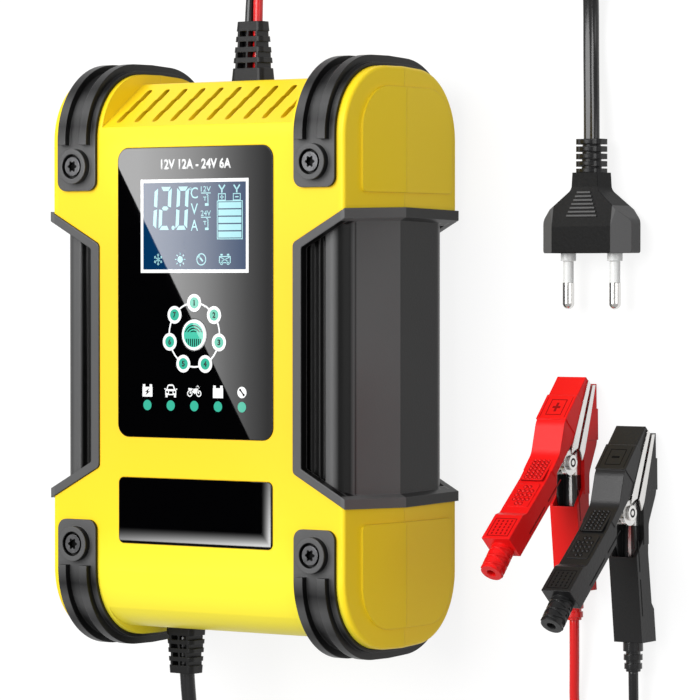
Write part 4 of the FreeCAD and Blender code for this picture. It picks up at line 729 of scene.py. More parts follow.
def digit(left, top, segments):
    """A seven-segment digit, with its upper left corner on the screen."""
    screen_spot(left, top)
    half, wide, gap = DIGIT_TALL / 2, DIGIT_WIDE, SEGMENT_GAP
    tip, shoulder, rise = SEGMENT * 0.8, SEGMENT * 1.3, SEGMENT / 2

    def lean(*spots):
        lit.patch(*[(x + (y + DIGIT_TALL) * SLANT, y) for x, y in spots])

    for name in segments:
        if name in "ad":
            edge, inward = (0, -SEGMENT) if name == "a" else (-DIGIT_TALL, SEGMENT)
            lean((0.5, edge), (wide - 0.5, edge), (wide - SEGMENT, edge + inward), (SEGMENT, edge + inward))
        elif name == "g":
            lean((tip, -half), (shoulder, -half + rise), (wide - shoulder, -half + rise),
                 (wide - tip, -half), (wide - shoulder, -half - rise), (shoulder, -half - rise))
        else:
            edge, inner = (wide, wide - SEGMENT) if name in "bc" else (0, SEGMENT)
            if name in "bf":
                high, low = -gap, -half + gap
                lean((edge, high - 0.2), (edge, low), (inner, low + 0.5), (inner, high - SEGMENT))
            else:
                high, low = -half - gap, -DIGIT_TALL + gap
                lean((edge, high), (edge, low + 0.2), (inner, low + SEGMENT), (inner, high - 0.5))


digit(1.7, 2.6, "bc")
digit(7.8, 2.6, "abged")
digit(15.3, 2.6, "abcdef")
screen_spot(14.3, 16.7).disc(0, 0, 0.72)

# %% [markdown]
# To the right of the digits stand the units, then the two voltages with a
# small plug under each, and a battery with five bars and a clip on each
# terminal. Letters this small look alike in any plain font, so the built-in
# one gives them. The rest is put together from bars and boxes.

# %% Units, voltages and the battery
for unit, down in (("C", 4.8), ("V", 10.3), ("A", 15.9)):
    screen_spot(23.6, down).figures(unit, 0, 0, 3.1, 3.8)
screen_spot(21.9, 3.4).ring(0, 0, 0.5, 0.2)
for reading, down in (("12V", 3.5), ("24V", 11.8)):
    screen_spot(28.6, down).figures(reading, 0, 0, 4.3, 1.8)
    lit.bar((-2.1, -1.4), (2.1, -1.4), 0.3)
    screen_spot(28.6, down + 1.9)
    lit.bar((0.2, 0), (0.9, 0), 0.3)
    lit.bar((-0.4, -0.9), (-0.4, -2.1), 0.3)
    lit.bar((0.9, -0.2), (0.9, -2.9), 0.35)
    lit.bar((-1.1, -0.9), (0.2, -0.9), 0.3)
    lit.box(-0.4, -3.9, 1.2, -3.0, 0.2)

BATTERY_LEFT, BATTERY_WIDE, BAR_PITCH = 33.4, 11.1, 2.5
screen_spot(BATTERY_LEFT, 7.6).outline(0, -13.2, BATTERY_WIDE, 0, 0.3)
for bar in range(5):
    top = -0.55 - BAR_PITCH * bar
    lit.box(0.6, top - 2.05, BATTERY_WIDE - 0.6, top)
for left, sign in ((0.5, "+"), (6.9, "-")):
    screen_spot(BATTERY_LEFT + left, 5.1)
    lit.outline(0, -2.5, 3.3, 0, 0.3)
    lit.bar((0.9, -1.25), (2.4, -1.25), 0.4)
    if sign == "+":
        lit.bar((1.65, -0.5), (1.65, -2.0), 0.4)
    for way in (-1, 1):
        lit.bar((1.65 + way * 1.3, 2.9), (1.65 + way * 0.25, 1.5), 0.55)
    lit.bar((1.65, 1.6), (1.65, 0.2), 0.6)

# %% [markdown]
# Along the bottom of the screen stand four small signs: a snowflake for
# winter, a sun for summer, a tool in a circle, and a battery on its charger.
# The arms and the rays are made by loops, because they repeat by an angle.

# %% Signs on the screen
screen_spot(7.7, 27.6)
for arm in range(3):
    angle = math.radians(60 * arm + 90)
    tip = Vector((math.cos(angle), math.sin(angle))) * 2.0
    lit.bar(-tip, tip, 0.32)
    for end in (tip, -tip):
        for turn_by in (-35, 35):
            side = Matrix.Rotation(math.radians(turn_by), 2) @ end.normalized() * 0.75
            lit.bar(end * 0.55, end * 0.55 + side, 0.26)
screen_spot(17.4, 27.6).disc(0, 0, 1.15)
for ray in range(8):
    way = Vector((math.cos(math.radians(45 * ray)), math.sin(math.radians(45 * ray))))
    lit.bar(way * 1.6, way * 2.3, 0.34)
screen_spot(26.6, 27.6).ring(0, 0, 2.1, 0.35)
lit.bar((-0.9, 0.9), (0.7, -0.7), 0.62)
lit.disc(-0.95, 0.95, 0.5)
screen_spot(36.8, 27.6).outline(-2.5, -1.3, 2.5, 1.1, 0.34)
for x in (-1.4, 1.4):
    lit.box(x - 0.5, 1.25, x + 0.5, 1.85)
    lit.ring(x, -1.2, 0.72, 0.28)
lit.bar((-2.0, 0.7), (2.0, -0.9), 0.26)
lit.bar((-2.0, -0.9), (2.0, 0.7), 0.26)
print_on_face(lit, LIGHT_LEVEL, lit_segment, "light_pipe")

# %% [markdown]
# Around the button runs a thin white circle with seven lights on it, numbered
# clockwise from the top as the charging stages. Each light is a white disc
# with a smaller green one on it and its figure in black. Below them five
# green lights stand for the battery types, with a small sign over each.

# %% Lights and figures
RING_Y, RING_ROUND, RING_LINE, STAGES = 7.5, 11.0, 0.6, 7
RIM_ROUND, STAGE_ROUND, TYPE_ROUND = 3.05, 1.95, 1.8
TYPE_Y, TYPE_PITCH = -16.9, 10.3

marks = Drawing("face_marks")
marks.figures("12V 12A - 24V 6A", 0.7, 66.2, 30.6, 3.6, 0.034)
circle = Drawing("ring_line")
circle.at(0, RING_Y).ring(0, 0, RING_ROUND + RING_LINE / 2, RING_LINE)
print_on_face(circle, SHEET_LEVEL, white_ink, "pale_plastic")
discs = Drawing("light_rims")
greens = Drawing("light_discs")
numbers = Drawing("stage_numbers")
for stage in range(STAGES):
    angle = math.radians(90 - 360 * stage / STAGES)
    x, y = RING_ROUND * math.cos(angle), RING_Y + RING_ROUND * math.sin(angle)
    discs.disc(x, y, RIM_ROUND)
    greens.disc(x, y, STAGE_ROUND)
    numbers.figures(str(stage + 1), x, y, 1.25 if stage else 0.5, 2.0, 0.04)
for place in range(-2, 3):
    greens.disc(place * TYPE_PITCH, TYPE_Y, TYPE_ROUND)
print_on_face(discs, LIGHT_LEVEL, white_ink, "pale_plastic")
print_on_face(greens, DARK_LEVEL, teal_ink, "light_pipe")
print_on_face(numbers, FIGURE_LEVEL, black_ink, "gloss_black")

# %% [markdown]
# The five signs are a battery with a bolt, the front of a car, a motorcycle,
# a plain battery and a tool on a disc. White shapes are laid first, and the
# dark ones on top of them cut out the bolt, the windows and the tool.

# %% Battery type signs
SIGN_Y = TYPE_Y + 5.0
cuts = Drawing("sign_cuts")


def battery_sign(white):
    white.box(-2.2, -2.1, 2.2, 1.3)
    for x in (-1.5, 1.5):
        white.box(x - 0.55, 1.3, x + 0.55, 2.2)


def car_sign(white, dark):
    white.patch((-2.4, -1.4), (2.4, -1.4), (2.4, 0.2), (1.9, 0.7), (1.35, 2.0), (0.8, 2.3),
                (-0.8, 2.3), (-1.35, 2.0), (-1.9, 0.7), (-2.4, 0.2))
    for way in (-1, 1):
        white.box(way * 1.85 - 0.45, -2.2, way * 1.85 + 0.45, -1.4)
        white.box(way * 2.5 - 0.3, 0.5, way * 2.5 + 0.3, 0.9)
        dark.disc(way * 1.6, -0.35, 0.42)
    dark.patch((-1.35, 0.65), (1.35, 0.65), (0.95, 1.75), (-0.95, 1.75))
    dark.box(-0.8, -1.0, 0.8, -0.05)


def motorcycle_sign(white):
    for way in (-1, 1):
        white.ring(way * 1.95, -0.7, 1.15, 0.4)
    white.bar((-1.95, -0.7), (-0.5, 0.6), 0.5)
    white.bar((1.95, -0.7), (1.1, 1.5), 0.5)
    white.patch((-0.9, -0.2), (0.4, -0.9), (1.3, 0.5), (0.9, 1.1), (-0.7, 0.8))
    white.bar((-2.6, 0.9), (-0.4, 0.65), 0.6)
    white.bar((0.8, 1.6), (2.2, 1.35), 0.45)
    white.disc(1.45, 1.5, 0.55)


battery_sign(marks.at(-2 * TYPE_PITCH, SIGN_Y))
cuts.at(-2 * TYPE_PITCH, SIGN_Y)
cuts.patch((0.9, 0.9), (-1.1, -0.5), (-0.2, -0.45), (-0.9, -1.7), (1.1, -0.2), (0.15, -0.25))
car_sign(marks.at(-TYPE_PITCH, SIGN_Y), cuts.at(-TYPE_PITCH, SIGN_Y))
motorcycle_sign(marks.at(0, SIGN_Y))
battery_sign(marks.at(TYPE_PITCH, SIGN_Y))
marks.at(2 * TYPE_PITCH, SIGN_Y).disc(0, 0, 1.95)
cuts.at(2 * TYPE_PITCH, SIGN_Y).bar((-0.75, 0.85), (0.75, -0.85), 0.55)
for way in (-1, 1):
    cuts.disc(way * 0.75, way * -0.85, 0.45)
print_on_face(marks, SHEET_LEVEL, white_ink, "pale_plastic")
print_on_face(cuts, LIGHT_LEVEL, black_ink, "gloss_black")

# %% [markdown]
# The push button is one moulding in the solids, so its rings, arcs and bars
# are drawn by its shader, from the distance to its middle. A saw-tooth of
# that distance gives the arcs of its upper half, and one of X gives the bars
# of its lower half; a plain band is left between them.

# %% The push button
BUTTON_RIM, BUTTON_MARGIN = 4.25 * MM, 0.25 * MM
ARC_CENTRE, ARC_PITCH, ARC_SHARE, ARCS_FROM = -0.8 * MM, 0.95 * MM, 0.45, 0.95 * MM
BAR_STEP, BAR_SHARE, BARS_BELOW, BARS_LEFT = 0.85 * MM, 0.5, -1.3 * MM, -10 * MM


def button_face():
    finish = Finish("button_face", Roughness=PANEL_GLOSS * 2)
    x, y, z = finish.place()
    up = y - RING_Y * MM
    away = distance(x, up)
    arcs = ((distance(x, up - ARC_CENTRE) / ARC_PITCH).fraction() < ARC_SHARE) * (up > ARCS_FROM)
    bars = (((x - BARS_LEFT) / BAR_STEP).fraction() < BAR_SHARE) * (up < BARS_BELOW)
    dark = (arcs + bars) * (away < BUTTON_RIM - BUTTON_MARGIN)
    face = finish.blend(dark, colour(0.06, 0.46, 0.33), colour(0.003, 0.006, 0.006))
    rimmed = finish.blend(away > BUTTON_RIM, face, colour(0.86, 0.87, 0.87))
    patchy = finish.noise(500.0)
    finish.feed("Base Color", rimmed)
    finish.feed("Roughness", finish.spread(patchy, 0.3, 0.7, PANEL_GLOSS, PANEL_GLOSS * 3))
    return finish


button_face().put_on(nodes["mode_button"])

# %% [markdown]
# A clamp is two halves of one form, hinged at a rivet. Its small relief is
# drawn in the plane of each face and laid there by a matrix that is worked
# out from the half: its pivot, its lean on the floor and, for the upper half,
# the angle at which the closed jaws hold it. In a half, Y runs to the jaw,
# the pivot is at the origin and the outside faces down.

# %% The frames of the clamp halves
PIVOTS = {"red": Vector((113.2, -35.2, 14.267)), "black": Vector((136.8, -51.4, 14.267))}
CLAMP_LEAN = math.radians(1.07)
JAWS_OPEN = math.radians(43)
PIVOT_HIGH, HANDLE_OUT, HANDLE_START, HANDLE_LONG = 14.0, 9.0, 14.5, 44.0
BAND_PROUD, BLOCK_PROUD, FLARE = 0.4, 1.5, 0.1
HANDLE_WIDE, HANDLE_THICK = 11.0, 7.5
SQUARE = math.radians(90)


def half_frame(lead, upper):
    frame = Matrix.Translation(PIVOTS[lead]) @ Matrix.Rotation(CLAMP_LEAN, 4, "X")
    if upper:
        frame = frame @ Matrix.Rotation(-JAWS_OPEN, 4, "X") @ Matrix.Rotation(math.pi, 4, "Y")
    return frame


def outside(y):
    """How far below the pivot the handle's outside lies."""
    return HANDLE_OUT + FLARE * max(0.0, -y - HANDLE_START)


def outer_face(half, y, low, slope=0.0):
    """A face on the outside of a half: its X across the half, its Y to the jaw, its Z outwards."""
    face = half @ Matrix.Translation((0, y, -low)) @ Matrix.Rotation(slope, 4, "X")
    return face @ Matrix.Rotation(math.pi, 4, "Y")


def side_face(half, y, z, way):
    """A face on the side of the handle, its X along the handle."""
    tilt = Matrix.Rotation(math.atan(FLARE), 4, "X")
    face = half @ Matrix.Translation((way * HANDLE_WIDE / 2, y, z)) @ tilt
    return face @ Matrix.Rotation(way * SQUARE, 4, "Y") @ Matrix.Rotation(SQUARE, 4, "Z")


# %% [markdown]
# Each handle carries two raised pads with rows of round studs, and a third,
# with short dashes, on its thick end. The outlines and dashes are fine grooves.
# They could be cut into the covers, but a groove as narrow as these shows only
# as a dark line of shade, so a very thin dark strip, painted in that shade,
# shows the same and leaves the cover whole. The sign on the jaw cover, a plus
# or a minus, says which pole the clamp is for.

# %% Measures of the grip pads
FIRST_PAD, SECOND_PAD, END_PAD, POLE_BOX = (-5.6, -15.8), (-17.4, -28.2), (-34.6, -42.8), (8.8, 15.6)
PAD_WIDE, PAD_HIGH, PAD_CORNER, LINE, LINE_THICK = 8.4, 0.4, 0.6, 0.28, 0.03
STUD, STUD_HIGH, STUD_SHADE, STUD_PITCH = 0.62, 0.85, 0.78, 1.75
DASH_LONG, DASH_PITCH, DASH_WIDE, SIGN_BAR, SIDE_BAR, SEAM = 0.9, 1.4, 0.55, 0.9, 0.6, 0.18


def rows(counts, pitch_x, pitch_y):
    """Centres of studs in centred rows, from the jaw end down."""
    spots = []
    for row, count in enumerate(counts):
        y = ((len(counts) - 1) / 2 - row) * pitch_y
        spots += [((i - (count - 1) / 2) * pitch_x, y) for i in range(count)]
    return spots


def open_frame(drawing, wide, tall, corner=1.2):
    """Three sides of a pad's groove, with a cut corner, as the photograph shows it."""
    drawing.bar((-wide / 2, -tall / 2), (-wide / 2, tall / 2), LINE)
    drawing.bar((-wide / 2, -tall / 2), (wide / 2, -tall / 2), LINE)
    drawing.bar((wide / 2, -tall / 2), (wide / 2, tall / 2 - corner), LINE)
    drawing.bar((wide / 2, tall / 2 - corner), (wide / 2 - corner, tall / 2), LINE)


# %% [markdown]
# Each of the forms is drawn by a function that takes a clamp half. A stud
# stands on a dark disc that is a little larger, as the shade round the real
# one.

# %% Forms of the grip pads
SLOPE = math.atan(FLARE)


def studded_pad(grooves, pads, half, pad, counts):
    """A raised pad in its open frame, with studs in rows of the given counts."""
    middle, tall = sum(pad) / 2, pad[0] - pad[1]
    face = outer_face(half, middle, outside(middle) - 0.02, SLOPE)
    open_frame(grooves, PAD_WIDE + LINE, tall + LINE)
    grooves.lay(face)
    pads.box(-PAD_WIDE / 2, -tall / 2, PAD_WIDE / 2, tall / 2, PAD_CORNER)
    studs = rows(counts, STUD_PITCH, tall / (len(counts) + 0.6))
    pads.lay(face, studs, STUD, STUD_HIGH)
    for x, y in studs:
        grooves.disc(x, y, STUD_SHADE)
    grooves.lay(face @ Matrix.Translation((0, 0, PAD_HIGH)))


def side_grooves(grooves, half):
    """Two grooves along each side of a handle."""
    for way in (1, -1):
        for start, end in ((-9.5, -20.0), (-22.5, -35.0)):
            middle = (start + end) / 2
            grooves.bar(((end - start) / 2, 0), ((start - end) / 2, 0), SIDE_BAR)
            grooves.lay(side_face(half, middle, HANDLE_THICK - outside(middle) - 1.6, way))


def pole_sign(grooves, half, plus):
    """The boxed sign on the jaw cover, between two seams."""
    middle, tall = sum(POLE_BOX) / 2, POLE_BOX[1] - POLE_BOX[0]
    grooves.outline(-3.1, -tall / 2, 3.1, tall / 2, LINE)
    grooves.bar((-1.5, 0), (1.5, 0), SIGN_BAR)
    if plus:
        grooves.bar((0, -1.9), (0, -SIGN_BAR / 2), SIGN_BAR)
        grooves.bar((0, SIGN_BAR / 2), (0, 1.9), SIGN_BAR)
    for x in (-4.9, 4.9):
        grooves.bar((x, -tall / 2 - 1), (x, tall / 2 + 1), SEAM)
    grooves.lay(outer_face(half, middle, PIVOT_HIGH + BAND_PROUD))


def dashed_end(grooves, half):
    """Rows of short dashes in a frame, on the handle's thick end."""
    middle, tall = sum(END_PAD) / 2, END_PAD[0] - END_PAD[1]
    grooves.outline(-PAD_WIDE / 2, -tall / 2, PAD_WIDE / 2, tall / 2, LINE)
    for x, y in rows([4] * 5, STUD_PITCH, DASH_PITCH):
        grooves.bar((x, y - DASH_LONG / 2), (x, y + DASH_LONG / 2), DASH_WIDE)
    grooves.lay(outer_face(half, middle, outside(middle) + BLOCK_PROUD, SLOPE))


# %% [markdown]
# Both halves of both clamps carry the pads and the side grooves. The sign and
# the dashes are on the upper halves alone, which are the ones that turn.

# %% Grip pads
# Painted shade: the dark strips stand for the shade in narrow grooves and round the studs.
groove_shade_finish = {"red": moulded("red_groove_shade", colour(0.3, 0.003, 0.003), 0.5, shine=0.1),
                 "black": moulded("black_groove_shade", colour(0.002, 0.002, 0.002), 0.5, shine=0.1)}
for lead in ("red", "black"):
    for upper in (True, False):
        half = half_frame(lead, upper)
        name = f"{lead}_{'upper' if upper else 'lower'}"
        grooves, pads = Drawing(f"{name}_grooves", LINE_THICK), Drawing(f"{name}_pads", PAD_HIGH)
        studded_pad(grooves, pads, half, FIRST_PAD, [4] * 7)
        studded_pad(grooves, pads, half, SECOND_PAD, [2, 4, 4, 4, 2])
        side_grooves(grooves, half)
        if upper:
            pole_sign(grooves, half, lead == "red")
            dashed_end(grooves, half)
        body = f"{lead}_lever" if upper else "housing"
        grooves.finish(groove_shade_finish[lead], f"{lead}_cover", body)
        pads.finish(clamp_finish[lead], f"{lead}_cover", body)

# %% [markdown]
# The jaws' metal shows along the bite as a bright strip that narrows to the
# tip and joins the ears at the pivot. Each strip is one patch, given its
# thickness and laid on both sides of its half.

# %% Bright strips along the bite
BITE = math.tan(math.radians(21.5))
STRIP_AT, STRIP_THICK = 5.75, 0.5


def jaw_side(half, way):
    """A face on the side of the jaw: its X to the jaw's tip, its Y away from the outside."""
    face = half @ Matrix.Translation((way * STRIP_AT, 0, 0))
    return face @ Matrix.Rotation(way * SQUARE, 4, "Y") @ Matrix.Rotation(SQUARE, 4, "Z")


def along_bite(y, away):
    return (y, -y * BITE - away)


STRIP = [along_bite(25.7, 0.7), along_bite(17.0, 0.8), along_bite(8.4, 0.8), (4.4, -2.4), (2.9, -3.2),
         (0.6, -4.0), (3.4, -5.6), (8.4, -7.2), along_bite(17.0, 3.3), along_bite(25.7, 2.5)]
for lead in ("red", "black"):
    for upper in (True, False):
        strips = Drawing(f"{lead}_{'upper' if upper else 'lower'}_strips", STRIP_THICK)
        for way in (1, -1):
            strips.patch(*[(y, way * z) for y, z in STRIP])
            strips.lay(jaw_side(half_frame(lead, upper), way))
        strips.finish(plated, "plated_steel", f"{lead}_lever" if upper else "housing")

# %% [markdown]
# The plug has seven ridges across the slope of its face, which shorten
# towards the cable. They give the fingers hold when it is pulled out. A loop
# makes them, with their place and length from one share of the way up.

# %% Ridges on the plug
PLUG_FACE_Y, PLUG_THICK, SLOPE_START, SLOPE_LONG, SLOPE_FALL = 35.4, 13.7, 9.0, 13.3, 2.45
RIDGES, RIDGE_FIRST, RIDGE_LAST, RIDGE_WIDE, RIDGE_HIGH = 7, 3.6, 11.6, 0.68, 0.45
LOW_RIDGE_LONG, HIGH_RIDGE_LONG = 12.0, 5.4
ridges = Drawing("plug_ridges", RIDGE_HIGH)
for ridge in range(RIDGES):
    share = ridge / (RIDGES - 1)
    y = RIDGE_FIRST + (RIDGE_LAST - RIDGE_FIRST) * share
    half_long = (LOW_RIDGE_LONG + (HIGH_RIDGE_LONG - LOW_RIDGE_LONG) * share) / 2
    ridges.box(-half_long, y - RIDGE_WIDE / 2, half_long, y + RIDGE_WIDE / 2)
ridges.lay(Matrix.Translation((PLUG_MIDDLE, PLUG_FACE_Y + SLOPE_START, PLUG_THICK))
           @ Matrix.Rotation(-math.atan(SLOPE_FALL / SLOPE_LONG), 4, "X"))
# The ridges take the paler black, as painted light on their tops.
ridges.finish(plug_painted_light, "soft_black")

# %% [markdown]
# The plug's relief is a stack of wide flat rings, each a rounded box that is
# drawn across the cable and given its thickness along it.

# %% Rings on the plug's relief
RING_WIDE, RING_TALL, RING_THICK, RING_CORNER = 9.8, 6.6, 1.85, 1.6
RINGS, RING_PITCH, RING_FIRST, PLUG_LEVEL = 5, 2.5, 62.1, 6.85
rings = Drawing("plug_rings", RING_THICK)
for ring in range(RINGS):
    rings.box(-RING_WIDE / 2, -RING_TALL / 2, RING_WIDE / 2, RING_TALL / 2, RING_CORNER)
    rings.lay(Matrix.Translation((PLUG_MIDDLE, RING_FIRST + RING_PITCH * ring, PLUG_LEVEL))
              @ Matrix.Rotation(-SQUARE, 4, "X"))
rings.finish(soft_black, "soft_black")

# %% [markdown]
# The stub at the end of each upper handle has a rope-like relief of ridges
# that wind round it both ways. A curve with thickness could draw each ridge,
# point by point. A spin is shorter: a ridge starts as a small square at the
# stub's side, and a turn round the stub's axis with a step along it sweeps it.

# %% Wound ridges on the stubs
STUB_ROUND, STUB_LONG, RIDGE, RIDGE_SUNK = 3.7, 9.0, 0.75, 0.05
STUB_LEVEL = -HANDLE_OUT - FLARE * (HANDLE_LONG - HANDLE_START - 5.5) + HANDLE_THICK / 2


def wound_ridges(lead, turns=1.4, starts=2, steps=44):
    form = bmesh.new()
    for way in (1, -1):
        for start in range(starts):
            around = Matrix.Rotation(2 * math.pi * start / starts, 4, "Y")
            place = around @ Matrix.Translation((STUB_ROUND - RIDGE_SUNK, 0, 0))
            made = bmesh.ops.create_grid(form, x_segments=1, y_segments=1, size=RIDGE / 2, matrix=place)
            square = made["verts"][0].link_faces[0]
            bmesh.ops.spin(form, geom=[square, *square.edges, *square.verts], cent=(0, 0, 0),
                           axis=(0, way, 0), dvec=(0, -STUB_LONG / steps, 0), angle=2 * math.pi * turns,
                           steps=steps, use_duplicate=False)
    bmesh.ops.remove_doubles(form, verts=form.verts, dist=0.001)
    bmesh.ops.recalc_face_normals(form, faces=form.faces[:])
    frame = half_frame(lead, True) @ Matrix.Translation((0, -HANDLE_LONG - RIDGE / 2, STUB_LEVEL))
    bmesh.ops.transform(form, matrix=Matrix.Scale(MM, 4) @ frame, verts=form.verts)
    piece = make_piece(f"{lead}_stub_ridges", form)
    clamp_finish[lead].put_on(piece)
    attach(piece, f"{lead}_lever")
    print(f"{piece.name}: {len(piece.data.polygons)} faces")


for lead in ("red", "black"):
    wound_ridges(lead)

# %% [markdown]
# The metal of a clamp shows three finishes. The jaws are bright. Behind the
# pivot, inside the covers, the same metal is painted black as painted shade,
# but for one bright rib, and the rivet's head has a sunk ring painted dark as
# painted shade. Both are told from the place on the object: the first by the
# distance behind the pivot, the second by the distance to its axis.

# %% Jaw and rivet
SHADE_PAINTED_BEHIND, RIB_OFF, RIB_HALF = 4.4 * MM, 0.6 * MM, 0.55 * MM
SUNK_RING = 0.85 * MM, 1.55 * MM


def jaw_metal(lead):
    finish = Finish(f"{lead}_jaw_metal", Metallic=1.0)
    pivot = PIVOTS[lead] * MM
    x, y, z = finish.place()
    streak = finish.noise(STREAKS, 3.0, stretch=STREAK_STRETCH)
    bright = finish.blend(streak, colour(0.6, 0.59, 0.58), colour(0.86, 0.85, 0.83))
    rib = abs(x - (pivot.x - RIB_OFF)) < RIB_HALF
    # Painted shade: the metal inside the covers, behind the pivot, is made black.
    black = (y < pivot.y - SHADE_PAINTED_BEHIND) * (1.0 - rib)
    finish.feed("Base Color", finish.blend(black, bright, colour(0.012, 0.012, 0.013)))
    finish.feed("Metallic", 1.0 - black)
    finish.feed("Roughness", finish.spread(streak, 0.2, 0.8, 0.12, 0.26))
    finish.relief(streak, SCRATCH_DEEP, 0.1, edge=METAL_EDGE)
    return finish


def rivet_metal(lead):
    finish = Finish(f"{lead}_rivet_metal", Metallic=1.0)
    pivot = PIVOTS[lead] * MM
    x, y, z = finish.place()
    away = distance(y - pivot.y, z - pivot.z)
    # Painted shade in the rivet's sunk ring.
    sunk = (away > SUNK_RING[0]) * (away < SUNK_RING[1])
    streak = finish.noise(600.0, 3.0)
    bright = finish.blend(streak, colour(0.66, 0.65, 0.63), colour(0.88, 0.87, 0.85))
    finish.feed("Base Color", finish.blend(sunk, bright, colour(0.03, 0.03, 0.032)))
    finish.feed("Roughness", finish.spread(streak, 0.2, 0.8, 0.12, 0.25))
    finish.relief(1.0 - sunk, 0.3 * MM, 0.8, edge=METAL_EDGE)
    return finish


for lead in ("red", "black"):
    jaw_metal(lead).put_on(nodes[f"{lead}_lower_jaw"], nodes[f"{lead}_upper_jaw"])
    rivet_metal(lead).put_on(nodes[f"{lead}_pivot_pin"])

# %% [markdown]
# A lead is a thing of fixed length that lies under its own weight. Each route
# is a short list of points that a smooth curve follows: out
# of the housing, down, and along the floor round the outside of the picture
# to its clamp or plug. The red lead crosses above the black one where both
# fall, and the mains lead crosses both in a low hump.

# %% The routes of the leads
CORE_WIDE = 3.4 * MM
MAINS_WIDE, MAINS_THICK = 5.8 * MM, 3.3 * MM
EXIT_Y, EXIT_Z = 97.0, 37.0
CORE_X, MAINS_X = 1.95, -30.0
FLOOR = 1.73
MOUTH_STRAIGHT = 12.0
CLAMP_END = Matrix.Rotation(CLAMP_LEAN, 3, "X") @ Vector((0, -HANDLE_LONG - 10, STUB_LEVEL))
RED_MOUTH, BLACK_MOUTH = PIVOTS["red"] + CLAMP_END, PIVOTS["black"] + CLAMP_END
OUT = Vector((0, -math.cos(CLAMP_LEAN), -math.sin(CLAMP_LEAN)))

red_route = [(CORE_X, EXIT_Y, EXIT_Z), (CORE_X, 128, EXIT_Z), (3, 159.5, 34.5), (20, 174, 21),
             (51, 174, 7), (90, 166, FLOOR), (140, 162, FLOOR), (174, 146, FLOOR), (187, 104, FLOOR),
             (184, 52, FLOOR), (188, 0, FLOOR), (184, -52, FLOOR), (188, -102, FLOOR), (186, -138, FLOOR),
             (170, -158, FLOOR), (142, -163, FLOOR), (119, -148, FLOOR), (110.6, -124, FLOOR),
             RED_MOUTH + OUT * MOUTH_STRAIGHT, RED_MOUTH - OUT]
black_route = [(-CORE_X, EXIT_Y, EXIT_Z), (-CORE_X, 124, EXIT_Z), (-2, 150.5, 30), (7, 164, 16),
               (32, 165, 6), (64, 157, FLOOR), (108, 153, FLOOR), (150, 147, FLOOR), (177, 118, FLOOR),
               (175, 68, FLOOR), (179, 16, FLOOR), (175, -40, FLOOR), (180.5, -98.5, FLOOR),
               (180.5, -136, FLOOR), (167.7, -148.9, FLOOR), (149.6, -148.9, FLOOR), (135, -136, FLOOR),
               BLACK_MOUTH + OUT * MOUTH_STRAIGHT, BLACK_MOUTH - OUT]
MAINS_FLOOR = 1.75
mains_route = [(MAINS_X, -EXIT_Y, EXIT_Z), (MAINS_X, -131, EXIT_Z), (-24, -163, 25.5), (4, -177, 9),
               (60, -173, MAINS_FLOOR), (118, -177, MAINS_FLOOR), (170, -174, MAINS_FLOOR),
               (202, -134, MAINS_FLOOR), (199, -70, MAINS_FLOOR), (203, -6, MAINS_FLOOR),
               (199, 58, MAINS_FLOOR), (203, 116, MAINS_FLOOR), (198, 148, MAINS_FLOOR),
               (184, 166, MAINS_FLOOR), (164, 174.5, 6), (143, 170, 11), (128, 157.5, 12),
               (121.5, 139.5, 9.5), (118.7, 120, 4), (118.2, 103, 3.2), (PLUG_MIDDLE, 82, PLUG_LEVEL),
               (PLUG_MIDDLE, 63.6, PLUG_LEVEL)]

# %% [markdown]
# Blender's own curve gives both the smooth line and the round section. Each
# route is made a curve once without thickness, whose points are the lead's
# smooth line, and once with it, which is kept as a mesh.
# The ends are merged and closed.

# %% Round leads
CURVE_STEPS, SECTION_STEPS, CURVE_ORDER = 14, 6, 3
SAME_SPOT = 1e-7


def route_curve(name, route, thick):
    curve = bpy.data.curves.new(name, "CURVE")
    curve.dimensions = "3D"
    curve.bevel_depth = thick / 2
    curve.bevel_resolution = SECTION_STEPS
    curve.resolution_u = CURVE_STEPS
    curve.use_fill_caps = True
    spline = curve.splines.new("NURBS")
    spline.points.add(len(route) - 1)
    for point, spot in zip(spline.points, route):
        point.co = (*(Vector(spot) * MM), 1.0)
    spline.order_u = CURVE_ORDER
    spline.use_endpoint_u = True
    lead = bpy.data.objects.new(name, curve)
    bpy.context.scene.collection.objects.link(lead)
    return lead


def smooth_line(route):
    """The points of a route's smooth curve, read from it as a mesh without thickness."""
    line = route_curve("route_line", route, 0)
    mesh = bpy.data.meshes.new_from_object(line)
    bpy.data.objects.remove(line)
    return [vertex.co.copy() for vertex in mesh.vertices]


def closed_piece(name, form):
    """A bmesh of a lead, merged and turned outwards, as a smooth object."""
    bmesh.ops.remove_doubles(form, verts=form.verts, dist=SAME_SPOT)
    bmesh.ops.holes_fill(form, edges=[edge for edge in form.edges if edge.is_boundary])
    bmesh.ops.recalc_face_normals(form, faces=form.faces[:])
    piece = make_piece(name, form)
    piece.data.shade_smooth()
    return piece


def round_lead(name, route, thick):
    """A round lead: its route's curve, given its thickness and made a mesh."""
    curve = route_curve("route_tube", route, thick)
    mesh = bpy.data.meshes.new_from_object(curve)
    bpy.data.objects.remove(curve)
    form = bmesh.new()
    form.from_mesh(mesh)
    bpy.data.meshes.remove(mesh)
    return closed_piece(name, form)


red_lead = round_lead("red_battery_lead", red_route, CORE_WIDE)
black_lead = round_lead("black_battery_lead", black_route, CORE_WIDE)

# %% [markdown]
# The mains lead is flat: two round cores side by side in one sheath, with a
# furrow between them along both flat sides. A ring of that outline starts at
# one end, and is extruded from point to point of the route's own curve. Each
# step turns it so that its wide side stays level.

# %% The flat mains lead
UPRIGHT = Vector((0, 0, 1))
CORE_SPREAD = (MAINS_WIDE - MAINS_THICK) / 2
OPEN_ANGLE = math.pi - math.acos(CORE_SPREAD / (MAINS_THICK / 2))


